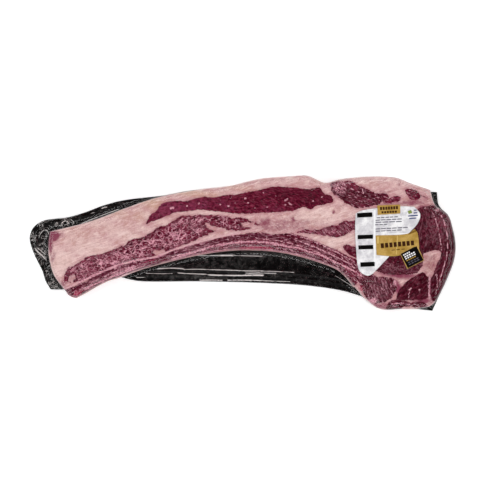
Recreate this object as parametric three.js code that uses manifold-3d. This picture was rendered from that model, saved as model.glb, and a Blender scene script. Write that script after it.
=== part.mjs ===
// A raw long-bone rib steak, vacuum-packed under clear film on a black plastic tray,
// with four stickers on the film. Millimetres, +Z up: the pack lies flat, labels up.
import * as THREE from 'three';
import { mergeVertices } from 'three/addons/utils/BufferGeometryUtils.js';
import Module from 'manifold-3d';

const wasm = await Module();
wasm.setup();

// ---------------------------------------------------------------- driving dimensions, mm
const PACK_LENGTH = 520;
const STEAK_THICKNESS = 40;
const TOP_EDGE_RADIUS = 10;
const BOTTOM_EDGE_RADIUS = 6;
const TRAY_FLOOR = 1.2;
const TRAY_GAP = 0.3;
const STEAK_BASE = TRAY_FLOOR + TRAY_GAP;

// The rib: an oval bone along the hollow edge, its side just proud of the meat.
const RIB_PROUD = 1;
const RIB_CLEARANCE = 0.3;
const RIB_MIDDLE = STEAK_BASE + 19;
const RIB_SHARE = 0.76;
const RIB_OVERRUN = 16;
const RIB_STATIONS = 40;
const RIB_SIDES = 14;
const RIB_DEPTH = { tip: 11, root: 15 };
const RIB_HEIGHT = { tip: 27, root: 23 };
const RIB_SQUARENESS = 0.65;

// Stickers: thin plates that follow the film, each a small step above what it covers.
const LABEL_THICKNESS = 0.4;
const LABEL_GAP = 0.4;
const LABEL_STEP_WIDTH = 5;
const LABEL_FLAT = { from: 4, to: 13 };

// Relief of the cut face: muscles stand over the fat, and the film leaves soft waves.
const MUSCLE_RISE = 1.6;
const MUSCLE_SHOULDER = 7;
const FAT_WAVE = 0.6;
const SEAM_DEPTH = 1.1;
const SEAM_WIDTH = 3;

// Tray rim: crests at these distances in from its edge, and the height of each.
const RIM_ROWS = [1.4, 4.4, 7.4, 10.4, 13.4, 17];
const RIM_FADE = 6;
const RIM_CRESTS = [
  { inset: 1.4, height: 2.2, width: 2 },
  { inset: 7.4, height: 3.4, width: 2.2 },
  { inset: 13.4, height: 2.6, width: 2.2 },
];

// ------------------------------------------- places in the photograph's 480 x 480 pixels
const PHOTO_LEFT = 29;
const PHOTO_RIGHT = 456;
const PHOTO_CENTRE = { x: 242.35, y: 243.28 };
const MM_PER_PIXEL = PACK_LENGTH / (PHOTO_RIGHT - PHOTO_LEFT);

const STEAK_SIDES = {
  lower: [
    [76, 297.6], [85, 293], [100, 284.5], [118, 277.8], [140, 269.3], [170, 261], [200, 254.3],
    [225, 250.5], [245, 249.5], [270, 250.6], [295, 254.8], [318, 261.5], [338, 269.5],
    [347, 277.5], [356, 288.5], [366, 299.3], [380, 308.8], [400, 309], [420, 308.3],
    [431, 305.5], [437, 299.5],
  ],
  upper: [
    [50, 231.5], [65, 227.5], [95, 217.5], [125, 207.5], [158, 197.4], [200, 189.5],
    [230, 186], [260, 179], [290, 176.5], [307, 175.9], [325, 182.8], [340, 179.5],
    [370, 176.8], [396, 178], [411, 183.8], [430, 190],
  ],
  left: [
    [76, 297.6], [70, 295.5], [63, 287.5], [54, 275], [49, 257], [48.5, 243], [50, 231.5],
  ],
  right: [
    [437, 299.5], [446, 281], [454, 260], [455.5, 246], [453, 230], [447.5, 214.5],
    [435, 205], [430, 190],
  ],
};

const TRAY_SIDES = {
  lower: [
    [51, 289.5], [64, 289.5], [80, 288], [100, 283], [118, 278.8], [140, 281.3], [200, 281.5],
    [260, 283], [310, 286], [345, 291.5], [375, 301], [400, 307], [433, 311],
  ],
  upper: [
    [37, 223.5], [45, 220], [68, 217], [85, 212], [102, 205.6], [122, 200.3], [165, 195],
    [190, 190.3], [230, 189], [300, 188], [380, 188], [437.5, 192],
  ],
  left: [[51, 289.5], [45.5, 281], [42.5, 271.5], [33, 253], [29, 238], [32, 228.5], [37, 223.5]],
  right: [[433, 311], [446, 280], [451, 240], [448.5, 216], [439.5, 205], [437.5, 192]],
};

// Lean muscles of the cut face, each a closed outline.
const MUSCLES = {
  long_band: [
    [147, 223], [165, 217], [185, 211.5], [230, 213], [262, 212.5], [300, 208.5], [332, 201.5],
    [327, 195], [318, 187.5], [280, 186.8], [240, 194], [200, 197.5], [165, 202.5], [152, 214],
  ],
  marbled: [
    [64, 279.5], [72, 265.5], [90, 256.5], [126, 244.2], [160, 226.5], [185, 215.8],
    [230, 217.5], [258, 224.5], [230, 231], [205, 239], [170, 250.5], [120, 263.5], [86, 279],
  ],
  wedge: [
    [297, 232.5], [322, 228.8], [341, 222.5], [354, 221], [354, 230], [343, 236], [320, 235],
  ],
  rib_cap: [
    [331, 183], [350, 181], [364, 187.5], [387, 195], [380, 203.5], [358, 208], [343, 201.5],
    [332, 194],
  ],
  chine: [[398.5, 296.5], [412, 283], [424, 275], [428.3, 285], [426, 297.8], [409, 299.8]],
};

// Seams between the long intercostal layers, as distances in from the hollow edge.
const SEAM_INSETS = [10, 20];

const LABEL_SIDES = {
  label_silver: {
    lower: [[362, 273.5], [366, 275.3], [369, 275.5], [372.5, 273.8]],
    upper: [[355.5, 213.5], [361, 210.8], [376, 208.3], [400, 206.3], [414, 206.8]],
    left: [[362, 273.5], [358.6, 269.5], [356, 250], [355, 230], [355.5, 213.5]],
    right: [[372.5, 273.8], [388, 257.5], [408, 234], [418, 222.5], [420, 214], [414, 206.8]],
  },
  label_gold: {
    lower: [[376.3, 255], [396, 256], [419, 249]],
    upper: [[375.5, 235.5], [407.5, 233.6], [414.5, 229.4], [417.5, 233]],
    left: [[376.3, 255], [375.5, 235.5]],
    right: [[419, 249], [418.6, 241], [417.5, 233]],
  },
  label_crest: {
    lower: [[377.5, 215], [400.2, 213.5]],
    upper: [[377, 205.5], [400, 204.5]],
    left: [[377.5, 215], [377, 205.5]],
    right: [[400.2, 213.5], [400, 204.5]],
  },
  label_badge: {
    lower: [[407, 269], [424, 260.3]],
    upper: [[399.5, 253], [417.3, 245.8]],
    left: [[407, 269], [399.5, 253]],
    right: [[424, 260.3], [417.3, 245.8]],
  },
};
const LABEL_CELLS = {
  label_silver: { columns: 12, rows: 16 },
  label_gold: { columns: 10, rows: 5 },
  label_crest: { columns: 6, rows: 3 },
  label_badge: { columns: 5, rows: 5 },
};
const LABELS_BENEATH = {
  label_silver: [],
  label_gold: ['label_silver'],
  label_crest: ['label_silver'],
  label_badge: ['label_silver', 'label_gold'],
};

// ------------------------------------------------------------------------- flat geometry
function onTable([px, py]) {
  const x = (px - PHOTO_CENTRE.x) * MM_PER_PIXEL;
  const y = (PHOTO_CENTRE.y - py) * MM_PER_PIXEL;
  return new THREE.Vector3(x, y, 0);
}

function spline(points, closed = false) {
  return new THREE.CatmullRomCurve3(points.map(onTable), closed, 'centripetal');
}

function sidesOf(places) {
  const sides = {};
  for (const [name, points] of Object.entries(places)) {
    sides[name] = spline(points);
  }
  return sides;
}

// The closed outline of four sides, counter-clockwise from the lower left corner.
function loopOf(sides, steps = 90) {
  const lower = sides.lower.getSpacedPoints(steps).slice(0, -1);
  const right = sides.right.getSpacedPoints(steps).slice(0, -1);
  const upper = sides.upper.getSpacedPoints(steps).reverse().slice(0, -1);
  const left = sides.left.getSpacedPoints(steps).reverse().slice(0, -1);
  return [...lower, ...right, ...upper, ...left];
}

// Distance from a point to a closed outline: positive outside it, negative inside.
function signedDistance(loop, x, y) {
  let nearest = Infinity;
  let inside = false;
  for (let k = 0, last = loop.length - 1; k < loop.length; last = k, k += 1) {
    const a = loop[last];
    const b = loop[k];
    const run = (b.x - a.x) ** 2 + (b.y - a.y) ** 2;
    const share = run > 0 ? ((x - a.x) * (b.x - a.x) + (y - a.y) * (b.y - a.y)) / run : 0;
    const t = THREE.MathUtils.clamp(share, 0, 1);
    nearest = Math.min(nearest, Math.hypot(a.x + t * (b.x - a.x) - x, a.y + t * (b.y - a.y) - y));
    const crosses = (a.y > y) !== (b.y > y);
    if (crosses && x < a.x + ((y - a.y) * (b.x - a.x)) / (b.y - a.y)) {
      inside = !inside;
    }
  }
  return inside ? -nearest : nearest;
}

// How far a rounded edge has dropped at this depth inside the outline.
function edgeDrop(depth, radius) {
  const short = THREE.MathUtils.clamp(radius - depth, 0, radius);
  return radius - Math.sqrt(radius * radius - short * short);
}

// Fractions along a length: first the border distances, then even cells, mirrored.
function stations(length, borders, cells) {
  const near = borders.map((border) => border / length);
  const start = near.at(-1) ?? 0;
  const middle = [];
  for (let k = 1; k < cells; k += 1) {
    middle.push(start + ((1 - 2 * start) * k) / cells);
  }
  return [0, ...near, ...middle, ...near.map((share) => 1 - share).reverse(), 1];
}

// A point of the patch that four sides span, at shares u along it and v across it.
function patchPoint(sides, u, v) {
  const lower = sides.lower.getPointAt(u);
  const upper = sides.upper.getPointAt(u);
  const left = sides.left.getPointAt(v);
  const right = sides.right.getPointAt(v);
  const acrossLow = sides.lower.getPointAt(0).lerp(sides.lower.getPointAt(1), u);
  const acrossHigh = sides.upper.getPointAt(0).lerp(sides.upper.getPointAt(1), u);
  const ruled = lower.lerp(upper, v);
  const turned = left.lerp(right, u);
  return ruled.add(turned).sub(acrossLow.lerp(acrossHigh, v));
}

// ------------------------------------------------------------------------ solid geometry
// A closed slab over a four-sided patch. top and bottom give a height for each point.
function slab(sides, grid, top, bottom) {
  const { borders, columns, rows } = grid;
  const us = stations(sides.upper.getLength(), borders, columns);
  const places = us.map((u) => {
    const width = sides.lower.getPointAt(u).distanceTo(sides.upper.getPointAt(u));
    return stations(width, borders, rows).map((v) => patchPoint(sides, u, v));
  });
  const across = places[0].length;
  const flat = places.flat();
  const tops = flat.map((p) => [p.x, p.y, top(p.x, p.y)]);
  const bottoms = flat.map((p) => [p.x, p.y, bottom(p.x, p.y)]);
  const index = [];
  const at = (i, j) => i * across + j;
  for (let i = 0; i + 1 < us.length; i += 1) {
    for (let j = 0; j + 1 < across; j += 1) {
      const quad = [at(i, j), at(i + 1, j), at(i + 1, j + 1), at(i, j + 1)];
      const under = quad.map((k) => k + flat.length);
      index.push(quad[0], quad[1], quad[2], quad[0], quad[2], quad[3]);
      index.push(under[0], under[2], under[1], under[0], under[3], under[2]);
    }
  }
  const rim = [];
  us.forEach((_, i) => rim.push(at(i, 0)));
  for (let j = 1; j < across; j += 1) rim.push(at(us.length - 1, j));
  for (let i = us.length - 2; i >= 0; i -= 1) rim.push(at(i, across - 1));
  for (let j = across - 2; j > 0; j -= 1) rim.push(at(0, j));
  rim.forEach((a, k) => {
    const b = rim[(k + 1) % rim.length];
    index.push(a + flat.length, b + flat.length, b, a + flat.length, b, a);
  });
  return shell([...tops, ...bottoms], index);
}

function shell(points, index) {
  const geometry = new THREE.BufferGeometry();
  geometry.setAttribute('position', new THREE.Float32BufferAttribute(points.flat(), 3));
  geometry.setIndex(index);
  return geometry;
}

function toSolid(geometry) {
  const merged = mergeVertices(geometry);
  const vertProperties = Float32Array.from(merged.attributes.position.array);
  const triVerts = Uint32Array.from(merged.index.array);
  return new wasm.Manifold(new wasm.Mesh({ numProp: 3, vertProperties, triVerts }));
}

function toGeometry(solid) {
  const mesh = solid.getMesh();
  const geometry = new THREE.BufferGeometry();
  geometry.setAttribute('position', new THREE.BufferAttribute(mesh.vertProperties, 3));
  geometry.setIndex(new THREE.BufferAttribute(mesh.triVerts, 1));
  return geometry;
}

// ------------------------------------------------------------------- the pieces' outlines
const labelLoops = {};
for (const [name, places] of Object.entries(LABEL_SIDES)) {
  labelLoops[name] = loopOf(sidesOf(places), 24);
}
const traySides = sidesOf(TRAY_SIDES);
const trayLoop = loopOf(traySides);
const steakSides = sidesOf(STEAK_SIDES);
const steakLoop = loopOf(steakSides);
const hollowEdge = steakSides.lower;
const muscleLoops = Object.values(MUSCLES).map((points) => spline(points, true).getSpacedPoints(70));
const hollowLine = hollowEdge.getSpacedPoints(160);

// --------------------------------------------------------------------------- the steak
function steakDepth(x, y) {
  return -signedDistance(steakLoop, x, y);
}

function muscleRise(x, y) {
  const rises = muscleLoops.map((loop) => {
    return THREE.MathUtils.smoothstep(-signedDistance(loop, x, y), 0, MUSCLE_SHOULDER);
  });
  return MUSCLE_RISE * Math.max(...rises);
}

// Grooves that run along the hollow edge, where one intercostal layer meets the next.
function seamDip(x, y) {
  const inset = Math.min(...hollowLine.map((p) => Math.hypot(p.x - x, p.y - y)));
  const dips = SEAM_INSETS.map((seam) => Math.exp(-(((inset - seam) / SEAM_WIDTH) ** 2)));
  return SEAM_DEPTH * (dips[0] + dips[1]);
}

function filmWave(x, y) {
  return FAT_WAVE * (Math.sin(x / 19 + y / 31) + 0.6 * Math.sin(x / 11 - y / 14));
}

// The relief fades out under the stickers, which hold the film flat.
function steakTop(x, y) {
  const depth = steakDepth(x, y);
  const beside = signedDistance(labelLoops.label_silver, x, y);
  const free = THREE.MathUtils.smoothstep(beside, LABEL_FLAT.from, LABEL_FLAT.to);
  const relief = free * (muscleRise(x, y) - seamDip(x, y)) + filmWave(x, y);
  const inland = THREE.MathUtils.smoothstep(depth, 0, TOP_EDGE_RADIUS);
  return STEAK_BASE + STEAK_THICKNESS - edgeDrop(depth, TOP_EDGE_RADIUS) + relief * inland;
}

function steakBottom(x, y) {
  return STEAK_BASE + edgeDrop(steakDepth(x, y), BOTTOM_EDGE_RADIUS);
}

// A point of the rib's line, by distance along the hollow edge. Before it the line is straight.
function ribPlace(distance) {
  const length = hollowEdge.getLength();
  const share = THREE.MathUtils.clamp(distance / length, 0, 1);
  const tangent = hollowEdge.getTangentAt(share);
  const inward = new THREE.Vector3(-tangent.y, tangent.x, 0);
  const beyond = Math.min(distance, 0);
  const place = hollowEdge.getPointAt(share).addScaledVector(tangent, beyond);
  return { place, inward };
}

// Flat-sided oval rings carried along the hollow edge, closed by a fan at each end.
function ribTube(clearance) {
  const reach = hollowEdge.getLength() * RIB_SHARE + clearance;
  const points = [];
  const index = [];
  for (let k = 0; k <= RIB_STATIONS; k += 1) {
    const along = k / RIB_STATIONS;
    const { place, inward } = ribPlace(THREE.MathUtils.lerp(-RIB_OVERRUN, reach, along));
    const depth = THREE.MathUtils.lerp(RIB_DEPTH.tip, RIB_DEPTH.root, along);
    const height = THREE.MathUtils.lerp(RIB_HEIGHT.tip, RIB_HEIGHT.root, along);
    const centre = place.addScaledVector(inward, depth / 2 - RIB_PROUD);
    for (let side = 0; side < RIB_SIDES; side += 1) {
      const angle = (2 * Math.PI * side) / RIB_SIDES;
      const outward = -squared(Math.cos(angle)) * (depth / 2 + clearance);
      const p = centre.clone().addScaledVector(inward, outward);
      points.push([p.x, p.y, RIB_MIDDLE + squared(Math.sin(angle)) * (height / 2 + clearance)]);
    }
    if (k > 0) {
      index.push(...ringBand((k - 1) * RIB_SIDES, k * RIB_SIDES, RIB_SIDES));
    }
  }
  const last = RIB_STATIONS * RIB_SIDES;
  for (let side = 1; side + 1 < RIB_SIDES; side += 1) {
    index.push(0, side, side + 1);
    index.push(last, last + side + 1, last + side);
  }
  return toSolid(shell(points, index));
}

// Turns a circle's sine or cosine into a flatter-sided oval's.
function squared(wave) {
  return Math.sign(wave) * Math.abs(wave) ** RIB_SQUARENESS;
}

function ringBand(from, to, count) {
  const faces = [];
  for (let side = 0; side < count; side += 1) {
    const next = (side + 1) % count;
    faces.push(from + side, to + next, from + next, from + side, to + side, to + next);
  }
  return faces;
}

// The rib ends where the steak does: it is cut to the outline, grown by what stands proud.
function ribBone() {
  const outline = new wasm.CrossSection([steakLoop.map((p) => [p.x, p.y])]);
  const envelope = outline.offset(RIB_PROUD, 'Round').extrude(STEAK_BASE + STEAK_THICKNESS);
  return toGeometry(ribTube(0).intersect(envelope));
}

function steak() {
  const grid = { borders: [0.9, 3, 6, 10], columns: 84, rows: 22 };
  const whole = toSolid(slab(steakSides, grid, steakTop, steakBottom));
  return toGeometry(whole.subtract(ribTube(RIB_CLEARANCE)).simplify(0.01));
}

// ---------------------------------------------------------------------------- the tray
// The rim's crests turn to flat where the steak's rounded underside lies over them.
function trayTop(x, y) {
  const inset = -signedDistance(trayLoop, x, y);
  const clear = 1 - THREE.MathUtils.smoothstep(steakDepth(x, y), -RIM_FADE, -1);
  const crests = RIM_CRESTS.map(({ inset: at, height, width }) => {
    return height * Math.exp(-(((inset - at) / width) ** 2));
  });
  return TRAY_FLOOR + clear * Math.max(...crests);
}

function tray() {
  const grid = { borders: RIM_ROWS, columns: 46, rows: 5 };
  const whole = toSolid(slab(traySides, grid, trayTop, () => 0));
  return toGeometry(whole.simplify(0.01));
}

// -------------------------------------------------------------------------- the labels
// Height of a label's underside: the film, plus a soft step over each label beneath it.
function labelUnderside(name, x, y) {
  const step = LABEL_THICKNESS + LABEL_GAP;
  const steps = LABELS_BENEATH[name].map((other) => {
    const outside = signedDistance(labelLoops[other], x, y);
    return step * (1 - THREE.MathUtils.smoothstep(outside, 1, LABEL_STEP_WIDTH));
  });
  const raised = steps.reduce((sum, height) => sum + height, 0);
  return steakTop(x, y) + LABEL_GAP + raised;
}

function label(name) {
  const sides = sidesOf(LABEL_SIDES[name]);
  const under = (x, y) => labelUnderside(name, x, y);
  const over = (x, y) => under(x, y) + LABEL_THICKNESS;
  return slab(sides, { borders: [], ...LABEL_CELLS[name] }, over, under);
}

// ------------------------------------------------------------------------- the assembly
const FINISHES = {
  tray: { color: '#14100f', roughness: 0.28, metalness: 0 },
  steak: { color: '#8a3546', roughness: 0.35, metalness: 0 },
  rib_bone: { color: '#d9b7a6', roughness: 0.5, metalness: 0 },
  label_silver: { color: '#c9c6ca', roughness: 0.3, metalness: 0.6 },
  label_gold: { color: '#b69654', roughness: 0.3, metalness: 0.7 },
  label_crest: { color: '#b69654', roughness: 0.3, metalness: 0.7 },
  label_badge: { color: '#1d1611', roughness: 0.35, metalness: 0 },
};

const pack = new THREE.Group();

function place(name, geometry) {
  const mesh = new THREE.Mesh(geometry, new THREE.MeshStandardMaterial(FINISHES[name]));
  mesh.name = name;
  pack.add(mesh);
}

place('tray', tray());
place('steak', steak());
place('rib_bone', ribBone());
for (const name of Object.keys(LABEL_SIDES)) {
  place(name, label(name));
}

export default pack;
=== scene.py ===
"""Looks of a raw long-bone rib steak, vacuum-packed under clear film on a black tray.

The pack lies flat with its stickers up, in metres, in the CAD model's frame. The outlines are
the part's own: places traced in the photograph's 480 x 480 pixels, brought to the pack's
real length. Every surface is a numpy grid over two parameters.
"""
import functools
import math

import bpy
import numpy as np
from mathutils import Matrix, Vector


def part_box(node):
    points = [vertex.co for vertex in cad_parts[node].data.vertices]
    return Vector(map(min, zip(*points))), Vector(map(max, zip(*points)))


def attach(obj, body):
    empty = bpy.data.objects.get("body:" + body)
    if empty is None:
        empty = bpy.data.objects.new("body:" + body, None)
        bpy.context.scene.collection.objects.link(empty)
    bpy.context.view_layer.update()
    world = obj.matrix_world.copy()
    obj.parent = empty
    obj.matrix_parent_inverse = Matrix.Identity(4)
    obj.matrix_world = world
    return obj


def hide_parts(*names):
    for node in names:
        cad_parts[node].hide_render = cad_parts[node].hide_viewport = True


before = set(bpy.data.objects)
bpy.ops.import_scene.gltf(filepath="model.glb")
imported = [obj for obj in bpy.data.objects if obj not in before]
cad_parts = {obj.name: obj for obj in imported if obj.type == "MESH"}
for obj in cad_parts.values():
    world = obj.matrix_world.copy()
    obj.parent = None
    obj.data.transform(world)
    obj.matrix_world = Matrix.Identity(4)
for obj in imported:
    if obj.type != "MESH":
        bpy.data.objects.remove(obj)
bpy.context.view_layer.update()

# ------------------------------------------------------------------- driving sizes, metres
MM = 0.001
PACK_LENGTH = 520 * MM
PHOTO_SIZE = 480
PHOTO_LEFT, PHOTO_RIGHT = 29, 456
PHOTO_CENTRE = np.array([242.35, 243.28])
PIXEL = PACK_LENGTH / (PHOTO_RIGHT - PHOTO_LEFT)

STEAK_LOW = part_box("steak")[0].z
STEAK_THICKNESS = 40 * MM
TOP_EDGE_RADIUS = 10 * MM
BOTTOM_EDGE_RADIUS = 6 * MM
BOTTOM_TUCK = 0.6 * BOTTOM_EDGE_RADIUS
WALL_TOP = STEAK_LOW + STEAK_THICKNESS - TOP_EDGE_RADIUS
WALL_LOW = STEAK_LOW + BOTTOM_EDGE_RADIUS
EDGE_ROWS = np.array([0.22, 0.8, 1.7, 2.9, 4.3, 5.8, 7.4, 9.2]) * MM
STEAK_CELLS = (350, 84)
# How far inside and outside an outline the depth in it is worked out.
MAP_REACH = 12 * MM
WALL_RINGS = 20
BOTTOM_ANGLES = np.radians([20, 40, 60, 78])

TRAY_FLOOR = 1.2 * MM
TRAY_CELLS = (190, 44)
# The ribs of the tray's rim: distance from its edge, height and bell width in millimetres.
RIM_CRESTS = [(1.4, 1.8, 2.0), (7.4, 2.7, 2.4), (13.4, 2.1, 2.4)]

RIB_PROUD = 1 * MM
RIB_MIDDLE = STEAK_LOW + 19 * MM
RIB_SHARE = 0.76
RIB_OVERRUN = 16 * MM
RIB_DEPTH = (11 * MM, 15 * MM)
RIB_HEIGHT = (27 * MM, 23 * MM)
RIB_SQUARENESS = 0.65
RIB_CELLS = (420, 40)
RIB_GROOVES = (RIB_MIDDLE - 9.5 * MM, RIB_MIDDLE + 9.5 * MM)
# The rings that close each end of the rib, as shares of its section.
RIB_CAP_RINGS = (0.93, 0.8, 0.55, 0.3, 0.1)

FILM_LIFT = 0.35 * MM
FILM_SLACK = 0.4 * MM
FILM_FOOT = 13 * MM
FILM_FILLET = 8 * MM
FILM_TUCK = 5 * MM
FILM_INDEX = 1.46
# Rings of the film down the steak's side, round the fillet and over the tray.
FILM_RINGS = (9, 10, 40)
# How far a fold of the film is told apart, in millimetres and in its own widths.
FOLD_REACH = 9.0
# The film's height over the tray at distances from its edge, drawn from crest to crest.
FILM_SPAN = ([0, 1.4, 4.4, 7.4, 10.4, 13.4, 25], [0.9, 1.8, 2.1, 2.7, 2.2, 2.1, 0.2])

LABEL_THICKNESS = 0.25 * MM
LABEL_STEP = LABEL_THICKNESS + 0.15 * MM
LABEL_STEP_WIDTH = 4 * MM
LABEL_LIFT = 0.45 * MM

# ----------------------------------------------------------- places in the photo's pixels
STEAK_SIDES = {
    "lower": [
        (76, 297.6), (85, 293), (100, 284.4), (109, 280.2), (118, 277.6), (140, 269.3), (170, 261),
        (200, 254.3), (225, 250.5), (245, 249.5), (270, 250.6), (295, 254.8), (318, 261.5),
        (338, 269.5), (347, 277.5), (356, 288.5), (366, 299.3), (380, 308.8), (400, 309), (420, 308.3),
        (431, 305.5), (437, 299.5)],
    "upper": [
        (50, 231.5), (65, 228), (80, 224.4), (95, 219.8), (110, 214.2), (125, 208.4), (158, 197.4),
        (200, 189.5), (230, 186), (260, 179), (290, 176.5), (307, 175.9), (325, 182.8), (340, 179.5),
        (370, 176.8), (396, 178), (411, 183.8), (430, 190)],
    "left": [(76, 297.6), (70, 295.5), (63, 287.5), (54, 275), (49, 257), (48.5, 243), (50, 231.5)],
    "right": [
        (437, 299.5), (446, 281), (454, 260), (455.5, 246), (453, 230), (447.5, 214.5), (435, 205),
        (430, 190)],
}

TRAY_SIDES = {
    "lower": [
        (50, 289.5), (64, 289.5), (80, 286.5), (100, 280.5), (113, 276.8), (121, 277.4), (128, 279.3),
        (140, 281.3), (200, 281.5), (260, 283), (310, 286), (345, 291.5), (375, 301), (400, 307),
        (433, 311)],
    "upper": [
        (37, 223.5), (45, 220), (68, 217), (85, 212), (102, 205.6), (122, 200.3), (165, 195),
        (190, 190.3), (230, 189), (300, 188), (380, 188), (437.5, 192)],
    "left": [(50, 289.5), (45, 281), (42, 271.5), (33, 253), (29, 238), (32, 228.5), (37, 223.5)],
    "right": [(433, 311), (446, 280), (451, 240), (448.5, 216), (439.5, 205), (437.5, 192)],
}

# Lean muscles of the cut face. marble: share of the pale network. streak: share of pale
# threads along the grain. dark: how deep the red is. turn: the grain's angle to the steak's
# length in degrees.
MUSCLES = {
    "long_band": dict(marble=0.05, streak=0.04, dark=0.4, turn=4, outline=[
        (146.5, 224), (150, 222.5), (155, 220.8), (165, 217), (170, 215), (174, 213), (190, 211),
        (200, 210), (220, 212), (243, 214), (258, 213), (280, 212), (293, 210.8), (304, 207.5),
        (308, 209), (312, 209.2), (316, 206), (326, 204.3), (333.5, 201.2), (330.5, 195.5),
        (324, 193.5), (319.5, 187.5), (310, 188.7), (298, 188), (283, 186.8), (272, 186.8), (260, 190),
        (248, 191.7), (237, 194.7), (225, 195.3), (215, 197.3), (210, 196.8), (200, 197.5),
        (185, 201.5), (175, 200.7), (165, 202.5), (161, 204.5), (157, 210), (151, 214.5),
        (147.5, 221)]),
    "marbled": dict(marble=0.9, streak=0.05, dark=0.62, turn=8, outline=[
        (64, 279.5), (65, 275), (68.5, 267.5), (76, 264.3), (85, 258.5), (95, 255), (105, 252.5),
        (119, 247), (126, 244.2), (130, 240.5), (140, 238.5), (150, 233.5), (160, 226.5), (168, 224),
        (175, 220), (182, 216.3), (190, 215.3), (200, 214.9), (215, 215.5), (228, 216.7), (232, 219),
        (235, 217.5), (245, 218.5), (255, 222.5), (260, 225), (250, 224.8), (241, 224.5), (250, 228),
        (245, 230), (235, 231), (225, 229.7), (214, 232), (200, 238), (190, 242.5), (175, 249),
        (165, 252.8), (150, 257.5), (130, 262), (110, 269.5), (90, 278.5), (75, 286), (64, 288.5)]),
    "rib_layers": dict(marble=0.34, streak=0.42, dark=0.7, turn=2, outline=[
        (60, 289), (66, 288.7), (82, 282.5), (100, 273.5), (120, 265), (140, 259.8), (157, 256.5),
        (170, 251.5), (190, 245), (210, 240), (230, 235.8), (245, 233.4), (262, 232.6), (275, 234.5),
        (290, 233), (305, 237), (320, 243), (335, 249.5), (345, 254.5), (357, 260.5), (366, 271),
        (377, 277), (366, 279.5), (356, 284), (351, 291), (343, 284), (334, 276), (318, 268),
        (295, 261.5), (270, 257.2), (245, 256), (225, 257), (200, 260.8), (170, 267.5), (140, 275.8),
        (118, 284.3), (100, 291), (85, 299.5), (76, 304.5), (66, 300)]),
    "wedge": dict(marble=0.5, streak=0.25, dark=0.55, turn=-14, outline=[
        (296, 232.5), (303, 230), (317, 229.5), (326, 227.3), (330, 225.5), (336, 225), (344, 221),
        (350, 220.8), (357, 221.5), (357, 228.5), (352, 231), (347, 233.5), (340, 237), (326, 236),
        (315, 234), (305, 233.7)]),
    "rib_cap": dict(marble=0.36, streak=0.12, dark=0.75, turn=20, outline=[
        (331, 183), (335, 181.3), (342, 181.5), (350, 180.8), (354, 183), (357, 185.5), (362, 186.3),
        (366, 189), (376, 193), (387, 194.3), (389, 196.5), (384, 201), (376, 205), (362, 207.8),
        (354, 207.5), (347, 204), (341, 199.3), (333.5, 194.8), (330.5, 188)]),
    "cap_strip": dict(marble=0.3, streak=0.2, dark=0.6, turn=0, outline=[
        (391, 197.5), (396, 196), (401, 197), (400, 200), (394, 202.8), (383, 203.5), (384, 201.5)]),
    "cap_islet": dict(marble=0.3, streak=0.15, dark=0.6, turn=0, outline=[
        (404.5, 189.5), (409, 189), (413, 189), (417, 191), (420, 194), (427, 197.5), (421, 197.5),
        (418, 199), (412, 199.5), (409, 198), (407, 195), (405, 192)]),
    "eye_rim": dict(marble=0.12, streak=0.14, dark=1.05, turn=70, outline=[
        (418, 209), (424, 206.5), (431, 205.5), (438, 206.5), (444, 210.5), (450.5, 217), (456, 228),
        (459.5, 240), (459.8, 250), (458, 261), (454, 271), (450, 281.5), (446, 290), (441, 297),
        (434, 301.5), (430.5, 297), (430.5, 288), (431, 279), (434, 271), (437, 263.5), (440, 257.5),
        (440.5, 251.5), (434, 250.5), (427, 252), (423, 253), (417, 240), (416, 225)]),
    "eye": dict(marble=0.15, streak=0.15, dark=0.95, turn=10, outline=[
        (372, 214), (392, 210), (416, 210), (419, 225), (419, 240), (423, 254), (423, 262), (422, 266),
        (418, 272), (412, 274), (400, 275), (388, 274.5), (379, 272), (372, 268), (368, 250),
        (368, 228)]),
    "chine": dict(marble=0.1, streak=0.05, dark=1.15, turn=60, outline=[
        (424, 272.5), (428, 275.5), (429, 285), (429, 295), (426, 299), (414, 300), (403, 300.3),
        (396.5, 298), (397.5, 293), (401.5, 286.5), (407, 281), (415, 275.5)]),
    "fan": dict(marble=0.28, streak=0.48, dark=0.95, turn=-52, outline=[
        (359, 279), (370, 276.5), (384, 276.7), (393, 278), (396.5, 283.5), (396, 290), (392.5, 296.5),
        (387.5, 301), (378, 303.5), (369, 301), (363.5, 294), (359.5, 285)]),
    "heel": dict(marble=0.3, streak=0.15, dark=0.8, turn=-10, outline=[
        (386, 307), (388.5, 302.3), (392.5, 299.9), (400, 300.2), (406, 301.4), (411, 303.3),
        (410, 306), (403, 307.2), (399, 310), (392, 311), (386, 309)]),
    "heel_islet": dict(marble=0.25, streak=0.2, dark=0.9, turn=0, outline=[
        (411, 304), (415, 301.8), (421, 301.5), (426, 303.6), (428, 306.3), (421, 308), (414, 307.5)]),
    "seam_spot": dict(marble=0.1, streak=0.2, dark=0.7, turn=40, outline=[
        (343, 247), (347, 244.5), (351, 246), (357, 248), (357, 257), (351, 256), (346, 252)]),
}

# Fat that lies inside the lean outlines.
FAT_ISLANDS = [
    [(204, 223.5), (209, 223), (214, 226.5), (222, 227.8), (232, 231.3), (236, 233), (226, 233.5),
     (222, 231), (214, 231), (208, 227.5)],
    [(240, 222.8), (246, 222.4), (255, 226), (248, 227), (242, 225.5)],
    [(68.3, 275.3), (71, 276), (74.5, 275), (75.5, 278.5), (74, 280), (73.8, 282.6), (70, 281.6),
     (68.4, 282.4), (69, 279)],
    [(62, 284.5), (66, 281.8), (72, 282.5), (80, 280.5), (76, 284.5), (69, 287.3), (64, 287.5)],
    [(154, 251.5), (159, 250), (165, 250.5), (161, 254.8), (155, 255)],
    [(424.5, 255), (429, 253.8), (439.3, 252.3), (438, 259), (435, 266), (431.5, 273), (428.5, 277),
     (425, 274.5), (423, 268)],
]

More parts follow.
